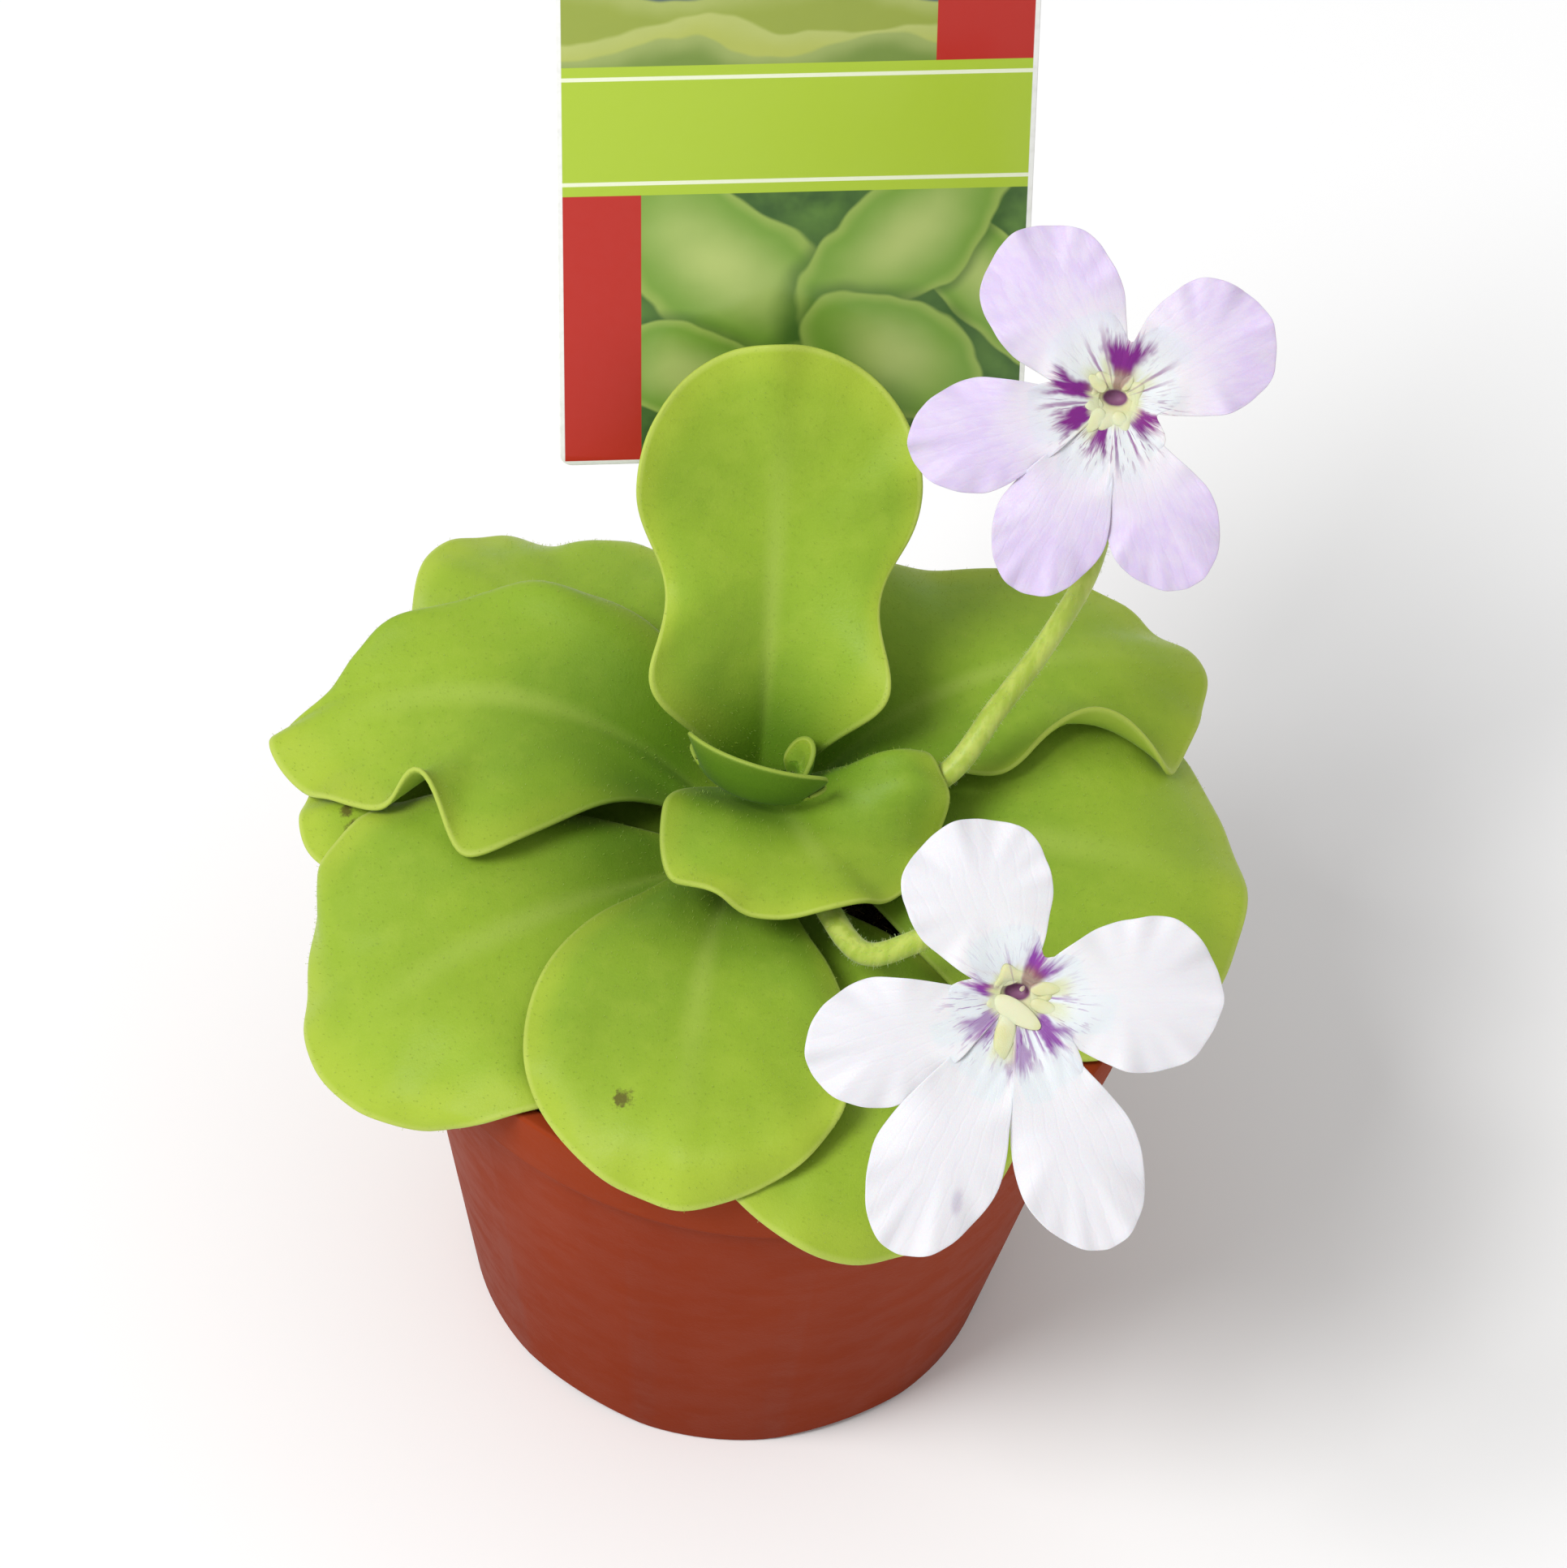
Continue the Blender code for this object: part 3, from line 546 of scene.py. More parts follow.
# %% The bed of soil
SOIL_LEVEL = 59.5 * MM
SOIL_BUMP = 0.9 * MM
SOIL_RINGS = 46
SOIL_STEPS = 120
CUT_CREASE = radians(50)
GAP = 0.3 * MM
CROWN_PLACE = (-2 * MM, 9 * MM)
CROWN_FOOT = 42 * MM
CROWN_TOP = 71.5 * MM
CROWN_FOOT_RADIUS = 5.2 * MM
CROWN_TOP_RADIUS = 3.7 * MM


def pot_inside(height):
    share = (height - POT_FLOOR) / (POT_HEIGHT - POT_EDGE - POT_FLOOR)
    return FLOOR_INSIDE + (MOUTH_INSIDE - FLOOR_INSIDE) * share


SOIL_WALL = pot_inside(SOIL_LEVEL) - 2 * GAP


def soil_height(x, y):
    """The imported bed's waves with finer ones on top, all fading out at the pot's wall."""
    fade = 1 - np.minimum(1, (np.hypot(x, y) / SOIL_WALL) ** 6)
    wave = (np.sin(310 * x + 1) * np.cos(270 * y) + 0.6 * np.sin(520 * x + 410 * y)
            + 0.4 * np.cos(800 * y - 350 * x))
    fine = np.sin(1900 * x + 700 * y) * np.cos(1700 * y - 500 * x) + 0.5 * np.sin(3900 * x - 3100 * y)
    return SOIL_LEVEL + SOIL_BUMP * fade * (wave + 0.22 * fine)


def soil_bed():
    low = POT_FLOOR + GAP
    profile = [(SOIL_WALL * k / SOIL_RINGS, SOIL_LEVEL) for k in range(SOIL_RINGS + 1)]
    profile += [(pot_inside(low) - 2 * GAP, low), (0, low)]
    points, faces = turned(profile, SOIL_STEPS)
    top = points[:, 2] > SOIL_LEVEL - GAP
    points[top, 2] = soil_height(points[top, 0], points[top, 1])
    return made_mesh("soil_bed", points, faces)


bed_mesh = soil_bed()
print("soil points:", len(bed_mesh.vertices))

# %% Where the label stands
CARD_WIDTH = 54 * MM
CARD_HEIGHT = 88 * MM
CARD_THICKNESS = 0.8 * MM
CARD_CORNER = 1.5 * MM
CARD_FOOT = (-3 * MM, 41.5 * MM, 95.7 * MM)
CARD_LEAN = 14
CARD_TILT = 2.5
CARD_YAW = 8
STAKE_WIDTH = 11 * MM
STAKE_DEPTH = 66 * MM
STAKE_POINT = 12 * MM
STAKE_TIP = 2 * MM


def card_frame():
    """The label's frame: X across the card, Y up it and Z out of its face, from the middle of its foot."""
    place = (Matrix.Rotation(radians(CARD_YAW), 4, "Z") @ Matrix.Rotation(radians(90 - CARD_LEAN), 4, "X")
             @ Matrix.Rotation(radians(CARD_TILT), 4, "Z"))
    place.translation = CARD_FOOT
    return place


print("card in mm:", CARD_WIDTH / MM, "by", CARD_HEIGHT / MM)

# %% The soil's holes
def box_shape(size, place):
    return plain_form("box", bmesh.ops.create_cube, size=1, matrix=place @ Matrix.Diagonal((*size, 1)))


deep = 2 * (SOIL_LEVEL - CROWN_FOOT)
crown_hole = drill_shape(CROWN_FOOT_RADIUS + GAP, deep,
                         Matrix.Translation((*CROWN_PLACE, CROWN_FOOT - GAP + deep / 2)))
stake_slot = box_shape((STAKE_WIDTH + 2 * GAP, STAKE_DEPTH + 2 * GAP, CARD_THICKNESS + 2 * GAP),
                       card_frame() @ Matrix.Translation((0, -STAKE_DEPTH / 2, 0)))
bed_mesh = cut_away("soil_blank", bed_mesh, [crown_hole, stake_slot])
bed_mesh.set_sharp_from_angle(angle=CUT_CREASE)
print("soil points with holes:", len(bed_mesh.vertices))

# %% The soil's finish
def moist_peat(name, dark, pale, gloss):
    made, place = new_finish(name, Specular_IOR_Level=0.35)
    clods = cloudy(place, 320, 4.0, 0.65)
    dust = cloudy(place, 2400, 3.0, 0.7)
    colour = layered(dark, (eased(clods, 0.35, 0.7), pale),
                     (eased(dust, 0.62, 0.75, 0.0, 0.5), (0.22, 0.15, 0.085)))
    return painted(made, colour, eased(clods, 0.3, 0.7, gloss, 0.95), clods + dust * 0.5, 0.9, 0.0008)


peat = moist_peat("moist_peat", (0.018, 0.011, 0.007), (0.075, 0.045, 0.026), 0.6)
crumb_peat = moist_peat("crumb_peat", (0.026, 0.016, 0.010), (0.12, 0.072, 0.04), 0.7)
fibre_straw = moist_peat("fibre_straw", (0.16, 0.10, 0.05), (0.34, 0.23, 0.12), 0.6)
add_piece("soil_bed", bed_mesh, peat, "soil", "soil")

# %% [markdown]
# ## Crumbs and fibres
#
# What makes soil look like soil is its loose top: crumbs of many sizes and bent bits of fibre lying
# every way. Both are the same idea, a shape scattered over the bed, so two small trees of geometry
# nodes make them. A crumb is a ball pushed out of shape by noise after the copies are real, so that
# no two are alike. A fibre is a bent line with a three-sided section.

# %% Crumbs and fibres on the soil
CRUMB_NOISE = 900.0
CRUMB_PUSH = 2.6
CRUMB_LEAN = 0.8
FIBRE_LEAN = 0.25
SCATTER_SHARE = 0.97
CROWN_CLEARANCE = 1.2 * MM


def crumb_tree(finish):
    tree, given = growing_tree("peat_crumbs", ("Crumb radius", "Float"), ("Roundness", "Int"))
    ball = read(tree, "GeometryNodeMeshIcoSphere",
                {"Radius": given["Crumb radius"], "Subdivisions": given["Roundness"]})
    real = stood(tree, scattered(tree, given, CRUMB_LEAN), ball)
    noise = read(tree, "ShaderNodeTexNoise", {"Scale": CRUMB_NOISE, "Detail": 1.0}, "Color")
    centred = read(tree, "ShaderNodeVectorMath", {0: noise, 1: (0.5, 0.5, 0.5)}, operation="SUBTRACT")
    push = stretched(tree, stretched(tree, centred, given["Crumb radius"]), CRUMB_PUSH)
    moved = read(tree, "GeometryNodeSetPosition", {"Geometry": real, "Offset": push})
    return ended(tree, moved, finish)


def fibre_tree(finish):
    tree, given = growing_tree("peat_fibres", ("Fibre length", "Float"), ("Fibre radius", "Float"))
    start, middle, end = (stretched(tree, place, given["Fibre length"])
                          for place in ((-0.5, 0.0, 0.02), (0.0, 0.3, 0.22), (0.5, 0.0, 0.05)))
    bow = read(tree, "GeometryNodeCurveQuadraticBezier",
               {"Resolution": 7, "Start": start, "Middle": middle, "End": end})
    section = read(tree, "GeometryNodeCurvePrimitiveCircle",
                   {"Resolution": 3, "Radius": given["Fibre radius"]})
    strand = read(tree, "GeometryNodeCurveToMesh",
                  {"Curve": bow, "Profile Curve": section, "Fill Caps": True})
    return ended(tree, stood(tree, scattered(tree, given, FIBRE_LEAN), strand), finish)


def bed_top():
    """The bed's top alone, a little inside the wall, to scatter on."""
    rings = int(SOIL_RINGS * SCATTER_SHARE)
    wall = pot_inside(SOIL_LEVEL) * SCATTER_SHARE
    profile = [(wall * k / rings, 0) for k in range(rings + 1)]
    points, faces = turned([*profile, (0, -1 * MM)], SOIL_STEPS)
    top = points[:, 2] > -0.5 * MM
    points[:, 2] = np.where(top, soil_height(points[:, 0], points[:, 1]), SOIL_LEVEL - 2 * MM)
    from_crown = np.hypot(points[:, 0] - CROWN_PLACE[0], points[:, 1] - CROWN_PLACE[1])
    upper = (from_crown > CROWN_FOOT_RADIUS + CROWN_CLEARANCE) & (points[:, 2] > SOIL_LEVEL - 1.9 * MM)
    return made_mesh("bed_top", points, faces, {"upper": upper})


crumbs = crumb_tree(crumb_peat)
for name, tree, finish, numbers in (
        ("soil_small_crumbs", crumbs, crumb_peat,
         dict(Density=3.2e5, Crumb_radius=0.55 * MM, Least_size=0.35, Roundness=1, Seed=4)),
        ("soil_large_crumbs", crumbs, crumb_peat,
         dict(Density=3.5e4, Crumb_radius=1.1 * MM, Least_size=0.6, Roundness=2, Seed=9)),
        ("soil_fibres", fibre_tree(fibre_straw), fibre_straw,
         dict(Density=4.5e4, Fibre_length=6 * MM, Fibre_radius=0.11 * MM, Least_size=0.4, Seed=2))):
    add_piece(name, grown(name, bed_top(), tree, **numbers), finish, "soil")

# %% [markdown]
# ## The crown
#
# The rosette grows from a stub of a stem, mostly hidden. What shows between the leaves is pale flesh
# with the close rings that old leaf bases left. A turned profile with small ridges gives them.

# %% The crown
CROWN_RINGS = 11
CROWN_RIDGE = 0.22 * MM
CROWN_ROWS = 90
CROWN_STEPS = 48


def crown_flesh():
    made, place = new_finish("crown_flesh", Specular_IOR_Level=0.4, Subsurface_Weight=0.15,
                             Subsurface_Scale=0.002)
    mottle = cloudy(place, 500, 3.0)
    buried = eased(axes_of(place)[2], SOIL_LEVEL - 2 * MM, SOIL_LEVEL + 5 * MM, 0.8, 0.0)
    colour = layered((0.30, 0.37, 0.09), (eased(mottle, 0.35, 0.7), (0.45, 0.50, 0.17)),
                     (buried, (0.17, 0.12, 0.05)))
    return painted(made, colour, eased(mottle, 0.3, 0.7, 0.5, 0.7), mottle, 0.4, 0.0003)


def smoothed(share):
    share = np.clip(share, 0, 1)
    return share * share * (3 - 2 * share)


def crown_profile():
    rise = CROWN_TOP - CROWN_FOOT
    profile = [(0, CROWN_FOOT)]
    for share in np.linspace(0, 0.985, CROWN_ROWS):
        radius = np.interp(share, [0, 0.4, 0.62],
                           [CROWN_FOOT_RADIUS * 0.8, CROWN_FOOT_RADIUS, CROWN_TOP_RADIUS])
        ridge = abs(sin(pi * CROWN_RINGS * share)) ** 0.6 * smoothed((share - 0.45) / 0.15)
        profile.append((radius - CROWN_RIDGE * (1 - ridge), CROWN_FOOT + rise * share))
    profile.append((CROWN_TOP_RADIUS * 0.85, CROWN_TOP - 0.05 * MM))
    profile.append((CROWN_TOP_RADIUS * 0.4, CROWN_TOP))
    return profile + [(0, CROWN_TOP)]


crown_points, crown_faces = turned(crown_profile(), CROWN_STEPS)
crown_points[:, :2] += CROWN_PLACE
add_piece("crown_stub", made_mesh("crown_stub", crown_points, crown_faces), crown_flesh(), "crown", "crown")

# %% [markdown]
# ## A leaf's middle surface
#
# Each leaf and petal is one formula. A square of numbers u and v is pressed into a disc, so that the
# margin is one smooth line. The disc is stretched along a bent midrib, narrowed at the foot, folded
# into a trough and cupped, and waves grow towards its margin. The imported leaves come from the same
# formula with few points. Here it gets many, and the fold along the midrib is softened.

# %% The formula of a leaf
BLADE = dict(
    start=4.5, base=64, azimuth=0, length=40, width=30,
    rise=30, fall=-20, bend=1.0, swing=0, roll=0,
    neck=0.28, shoulder=0.6, taper=0.0, trough=25, left_cup=-20, right_cup=-20,
    waves=(), bumps=(), lobes=(), gap=0.4,
)
MIDRIB_STEPS = 60
SECTION_STEPS = 12
TROUGH_END = 0.7
FOLD_SOFTNESS = 0.7


def disc_place(u, v):
    """Where a point of the square lies in the disc: across, along from 0 to 1, and out from the middle."""
    across = u * np.sqrt(1 - v * v / 2)
    forward = v * np.sqrt(1 - u * u / 2)
    return across, (forward + 1) / 2, np.hypot(across, forward)


def bell(value, middle, spread):
    return np.exp(-((value - middle) / spread) ** 2)


def blade(shape, u, v, softness=0.0):
    """The middle of a leaf or petal, in millimetres. u runs across it and v along it, from -1 to 1."""
    p = {**BLADE, **shape}
    across, along, radius = disc_place(u, v)
    around = np.degrees(np.arctan2(across, 2 * along - 1))
    reach = across * p["width"] / 2 * (p["neck"] + (1 - p["neck"]) * smoothed(along / p["shoulder"]))
    reach = reach * (1 - p["taper"] * smoothed(2 * along - 1))
    inner, outer = np.ones(radius.shape), np.ones(radius.shape)
    for share, place, spread in p["lobes"]:
        pull = share * bell(around, place, spread)
        inner, outer = inner * (1 + pull * radius ** 2), outer * (1 + pull)
    if softness:
        # A margin drawn in so far that it would turn back under its leaf ends at the turn instead.
        turn = 2 / np.sqrt(27 * np.maximum(1 - outer, 1 / 3))
        inner = np.where(outer < 2 / 3, 1 - (1 - turn) * radius ** (turn / (1 - turn)), inner)
    reach = reach * inner

    # The midrib starts at the rise, and its tip points at the fall.
    share = np.linspace(0, 1, MIDRIB_STEPS + 1)
    middle = (share[1:] + share[:-1]) / 2
    pitch = np.radians(p["rise"] + (p["fall"] - p["rise"]) * middle ** p["bend"])
    heading = np.radians(p["azimuth"] + p["swing"] * middle)
    steps = np.stack([np.cos(pitch) * np.cos(heading), np.cos(pitch) * np.sin(heading), np.sin(pitch)], -1)
    first = np.radians(p["azimuth"])
    foot = np.array([p["start"] * np.cos(first), p["start"] * np.sin(first), p["base"]])
    midrib = np.vstack([[0, 0, 0], np.cumsum(steps * p["length"] / MIDRIB_STEPS, 0)]) + foot
    point = np.stack([np.interp(along, share, midrib[:, k]) for k in range(3)], -1)
    heading = np.interp(along, middle, heading)
    pitch = np.interp(along, middle, pitch)
    side = np.stack([-np.sin(heading), np.cos(heading), 0 * heading], -1)
    upper = np.stack([-np.sin(pitch) * np.cos(heading), -np.sin(pitch) * np.sin(heading), np.cos(pitch)], -1)
    roll = np.radians(p["roll"])
    side, upper = side * np.cos(roll) + upper * np.sin(roll), upper * np.cos(roll) - side * np.sin(roll)

    # The section across is an arc on each side, on top of a trough that fades towards the tip.
    cup = np.where(across > 0, p["left_cup"], p["right_cup"]) * (0.3 + 0.7 * smoothed(2 * along))
    trough = p["trough"] * (1 - smoothed(along / TROUGH_END))
    stations = (np.arange(SECTION_STEPS) + 0.5) / SECTION_STEPS
    slopes = np.radians(trough + cup * stations[:, None, None] * np.abs(across))
    out = reach * np.cos(slopes).mean(axis=0)
    lift = (np.sqrt(reach ** 2 + softness ** 2) - softness / 2) * np.sin(slopes).mean(axis=0)

    # Waves and bumps grow towards the margin and fade at the foot.
    fade = radius ** 3 * smoothed(along / 0.45)
    for height, count, phase in p["waves"]:
        lift = lift + height * fade * np.cos(np.radians(count * around + phase))
    for height, place, spread in p["bumps"]:
        lift = lift + height * fade * bell(around, place, spread)
    return point + side * out[..., None] + upper * lift[..., None]


def grid_axes(across, along):
    return np.meshgrid(np.linspace(-1, 1, across + 1), np.linspace(-1, 1, along + 1))


print("leaf formula ready")

# %% [markdown]
# ## From a surface to a fleshy leaf
#
# A real leaf is a millimetre thick and its margin is round, so that its edge catches the light. Giving
# a surface its thickness by a modifier leaves a square margin. Here the upper and lower faces are the
# middle surface moved out both ways, a little less at the margin, and a half round lip joins them.
# The mesh also carries where each point lies on the leaf, which the finish needs.

# %% Closing a surface into a fleshy sheet
LIP_STEPS = 3


def grid_normals(points):
    """The upper side's direction at each point of a grid, from the faces that meet there."""
    first = points[1:, 1:] - points[:-1, :-1]
    second = points[1:, :-1] - points[:-1, 1:]
    flat = np.pad(np.cross(second, first), ((1, 1), (1, 1), (0, 0)))
    return unit(flat[1:, 1:] + flat[:-1, 1:] + flat[1:, :-1] + flat[:-1, :-1])


def margin_places(rows, columns):
    """The places of a grid's outer points, in order round it."""
    right, top = columns - 1, rows - 1
    return ([(0, i) for i in range(right)] + [(j, right) for j in range(top)]
            + [(top, i) for i in range(right, 0, -1)] + [(j, 0) for j in range(top, 0, -1)])


def fleshy_sheet(points, thickness, thinning):
    """Points, faces and carried numbers of a closed sheet with a half round margin."""
    rows, columns = points.shape[:2]
    u, v = grid_axes(columns - 1, rows - 1)
    across, along, radius = disc_place(u, v)
    facing = grid_normals(points)
    half = thickness / 2 * (1 - thinning * smoothed((radius - 0.55) / 0.45))
    upper = points + facing * half[..., None]
    lower = points - facing * half[..., None]
    rim = margin_places(rows, columns)
    edge, normal = (np.array([grid[place] for place in rim]) for grid in (points, facing))
    inner = np.array([points[np.clip(j, 1, rows - 2), np.clip(i, 1, columns - 2)] for j, i in rim])
    run = unit(np.roll(edge, -1, axis=0) - np.roll(edge, 1, axis=0))
    out = edge - inner
    out -= run * (out * run).sum(-1, keepdims=True) + normal * (out * normal).sum(-1, keepdims=True)
    out = unit(out)
    reach = np.array([half[place] for place in rim])[:, None]
    lips = []
    for k in range(1, LIP_STEPS + 1):
        turn = pi / 2 - pi * k / (LIP_STEPS + 1)
        lips.append(edge + reach * (out * cos(turn) + normal * sin(turn)))
    size = rows * columns
    faces = []
    for j in range(rows - 1):
        for i in range(columns - 1):
            a = j * columns + i
            b, c, d = a + 1, a + columns + 1, a + columns
            faces += [(d, c, b, a), (size + a, size + b, size + c, size + d)]
    flat = np.array([j * columns + i for j, i in rim])
    count = len(rim)
    strips = [flat] + [2 * size + k * count + np.arange(count) for k in range(LIP_STEPS)] + [size + flat]
    for above, beneath in zip(strips, strips[1:]):
        for k in range(count):
            n = (k + 1) % count
            faces.append((int(above[k]), int(above[n]), int(beneath[n]), int(beneath[k])))
    numbers = {}
    for label, field in (("across", across), ("along", along), ("radius", radius)):
        inside = field.ravel()
        numbers[label] = np.concatenate([inside, inside, *[inside[flat]] * LIP_STEPS])
    numbers["upper"] = np.concatenate([np.ones(size), np.zeros(size), np.full(count * LIP_STEPS, 0.5)])
    return np.vstack([upper.reshape(-1, 3), lower.reshape(-1, 3), *lips]), faces, numbers


print("sheet words ready")

# %% [markdown]
# ## The leaves' shapes
#
# The rosette has fourteen leaves. They are listed from the oldest and lowest to the youngest, because
# each one grew on top of those before it. Angles say which way a leaf points from the crown, how
# steeply it rises and how far it arches over; waves, bumps and lobes are the folds of its margin.

# %% The leaves, from the oldest
LEAVES = {
    "leaf_far_left": dict(azimuth=183, length=46, width=28, base=61, rise=20, fall=-15,
                          waves=((1.0, 5, 30),)),
    "leaf_back_right_low": dict(azimuth=44, length=42, width=27, base=61, rise=22, fall=-10,
                                waves=((1.0, 5, 80),)),
    "leaf_back_left_low": dict(azimuth=136, length=42, width=27, base=62, rise=22, fall=-10,
                               waves=((1.0, 5, 200),)),
    "leaf_front_right_low": dict(azimuth=-70, length=53, width=38, base=62, rise=16, fall=-65, bend=3,
                                 waves=((1.0, 4, 90),)),
    "leaf_left_front": dict(azimuth=-140, length=57, width=43, base=63, rise=20, fall=-45, bend=1.8,
                            left_cup=-25, right_cup=-25, waves=((1.0, 5, 0),)),
    "leaf_right_front": dict(azimuth=-2, length=54, width=56, base=63, rise=22, fall=-35, bend=1.8,
                             taper=-0.15, right_cup=-25, waves=((1.2, 5, 0),)),
    "leaf_front": dict(azimuth=-104, swing=24, length=49, width=35, base=65, rise=25, fall=-60, bend=2,
                       taper=-0.1, left_cup=-30, right_cup=-30, waves=((1.0, 5, 90),)),
    "leaf_back_left": dict(azimuth=138, length=50, width=36, base=63, rise=22, fall=-16, bend=1.2,
                           waves=((1.2, 5, 0),)),
    "leaf_left": dict(azimuth=156, swing=44, length=57, width=42, base=65, rise=32, fall=-30, roll=2,
                      taper=0.2, left_cup=-10, right_cup=-48, waves=((0.8, 6, 0),),
                      bumps=((7, -125, 22), (6, 72, 9), (2, 45, 14)),
                      lobes=((0.3, -130, 22), (-0.5, -70, 30), (-0.7, -40, 28), (-0.25, 72, 10),
                             (0.2, 104, 22))),
    "leaf_right": dict(azimuth=44, swing=-28, length=58, width=36, base=67, rise=36, fall=-34,
                       right_cup=-25, waves=((1.0, 6, 0),),
                       bumps=((7, 118, 26), (5, -76, 16), (-2, -48, 12)),
                       lobes=((0.45, 122, 28), (-0.4, -80, 18), (0.2, -45, 12))),
}
YOUNG_LEAVES = {
    "leaf_inner_front": dict(azimuth=-62, length=24, width=33, base=72, rise=40, fall=-10, start=0,
                             neck=0.8, shoulder=0.3, trough=20, roll=-12,
                             waves=((1.2, 6, 0),), gap=-0.2),
    "leaf_erect": dict(azimuth=95, length=51, width=34, base=73, rise=62, fall=54, start=5.5, neck=0.85,
                       shoulder=0.6, taper=-0.2, trough=35, left_cup=15, right_cup=15, waves=((0.8, 6, 0),),
                       bumps=((-1.5, 97, 16), (-1.5, -97, 16)),
                       lobes=((-0.2, 97, 16), (0.25, 124, 14), (-0.2, -97, 16), (0.25, -124, 14))),
    "leaf_heart": dict(azimuth=-106, length=15, width=19, base=73, rise=62, fall=92, start=4, neck=0.5,
                       shoulder=0.4, taper=-0.4, trough=0, left_cup=62, right_cup=62),
    "leaf_bud": dict(azimuth=20, length=8, width=6, base=74, rise=75, fall=80, start=4, neck=0.8,
                     shoulder=0.3, trough=20, left_cup=50, right_cup=50),
}
print("leaves:", len(LEAVES) + len(YOUNG_LEAVES))

# %% [markdown]
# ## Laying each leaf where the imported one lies
#
# A packed leaf was moved out from a point in the middle of the pot until it lay on what is below it,
# and how far each of its points went is not in the formula. But it can be read off. Every packed leaf
# has a point on its upper face and a twin on its lower face, and halfway between them is a point that
# lies on the ray from the middle of the pot. The distance along that ray is the push. A smooth curve
# through the coarse grid's pushes then carries the fine grid along.

# %% Reading how far a packed leaf was moved
LEAF_THICKNESS = 1.1 * MM
LEAF_ACROSS = 8
LEAF_ALONG = 10
FINE_ACROSS = 44
FINE_ALONG = 56
NEST = np.array([CROWN_PLACE[0], CROWN_PLACE[1], 30 * MM])
CROWN_ORIGIN = np.array([CROWN_PLACE[0], CROWN_PLACE[1], 0])
TWINS_APART = 2.2 * MM


def packed_points(node):
    mesh = nodes[node].data
    flat = np.zeros(len(mesh.vertices) * 3)
    mesh.vertices.foreach_get("co", flat)
    return np.unique(np.round(flat.reshape(-1, 3), 7), axis=0)


def read_push(node, coarse):
    """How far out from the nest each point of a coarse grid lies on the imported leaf."""
    corners = packed_points(node)
    apart = np.linalg.norm(corners[:, None] - corners[None], axis=-1)
    first, second = np.nonzero(np.triu(apart < TWINS_APART, 1))
    middles = (corners[first] + corners[second]) / 2 - NEST
    away = coarse - NEST
    distance = np.linalg.norm(away, axis=-1)
    push = np.zeros(distance.shape)
    worst = 0.0
    for place in np.ndindex(push.shape):
        ray = away[place] / distance[place]
        out = middles @ ray
        beside = np.linalg.norm(middles - np.outer(out, ray), axis=1) + (out < distance[place] / 2)
        best = beside.argmin()
        push[place] = out[best] - distance[place]
        worst = max(worst, beside[best])
    return push, worst


def spread_out(field, rows, columns):
    """A coarse grid of numbers on a finer grid, by smooth curves along and then across."""
    longer = smooth_route(field, rows + 1)
    return smooth_route(longer.T, columns + 1).T


def moved_out(points, push):
    return points + unit(points - NEST) * push[..., None]


print("nest in mm:", NEST / MM)

# %% [markdown]
# ## Keeping the fine leaves clear of each other
#
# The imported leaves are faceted, and a fine surface bulges past the facets by a few tenths of a
# millimetre. Where two leaves touch, that would make them cross. So each new leaf looks from its own
# points back towards the nest, and wherever the leaves below come closer than its thickness allows,
# it is moved out by what is missing. Softening the push first keeps the surface smooth.

# %% Looking for what is below
NEST_REACH = 9 * MM
CONTACT_GAP = 0.08 * MM
LEAST_LEAN = 0.45
LEAF_SOFTENINGS = 6


def face_tree(points, faces):
    return BVHTree.FromPolygons([Vector(p) for p in points], faces)


def node_tree_of(node):
    mesh = nodes[node].data
    return face_tree([v.co for v in mesh.vertices], [tuple(f.vertices) for f in mesh.polygons])


def shortfall(place, facing, clearance, below):
    """How far a point has to move out from the nest to clear what lies under it."""
    centre = Vector(NEST)
    ray = Vector(place) - centre
    direction = ray.normalized()
    far = ray.length + NEST_REACH
    hits = [tree.ray_cast(centre + direction * far, -direction, far) for tree in below]
    floor = max([far - hit[3] for hit in hits if hit[0] is not None], default=0)
    lean = 1 if facing is None else max(LEAST_LEAN, abs(direction.dot(Vector(facing))))
    return max(0, floor + clearance / lean - ray.length) if floor else 0


def softened(field):
    """Each value pulled up towards its neighbours' mean, but never lowered."""
    padded = np.pad(field, 1, mode="edge")
    rows, columns = field.shape
    mean = np.mean([padded[j:j + rows, i:i + columns] for j in range(3) for i in range(3)], axis=0)
    return np.maximum(field, mean)


def kept_clear(points, below):
    facing = grid_normals(points)
    need = np.zeros(points.shape[:2])
    for place in np.ndindex(need.shape):
        need[place] = shortfall(points[place], facing[place], LEAF_THICKNESS / 2 + CONTACT_GAP, below)
    for _ in range(LEAF_SOFTENINGS):
        need = softened(need)
    return moved_out(points, need), need.max()


print("contact gap in mm:", CONTACT_GAP / MM)

# %% [markdown]
# ## The leaves' finish
#
# A butterwort's leaf is soft, a little translucent and covered in tiny glands, which give it a greasy
# bloom rather than a hard gloss. It is palest at its thin margin and along the midrib, and older
# leaves are yellower towards the tip. Light that enters the flesh comes out again close by, which
# subsurface scattering shows, and sheen is the pale veil that the glands make at grazing angles.

# %% The leaves' finish
ROSETTE_HEART = (-2 * MM, 4 * MM, 71 * MM)
SPECKS = (((-13.36, -37.69, 73.47), 1.5), ((-48.62, 0.64, 69.2), 1.6), ((-49.9, 3.07, 68.9), 1.1))


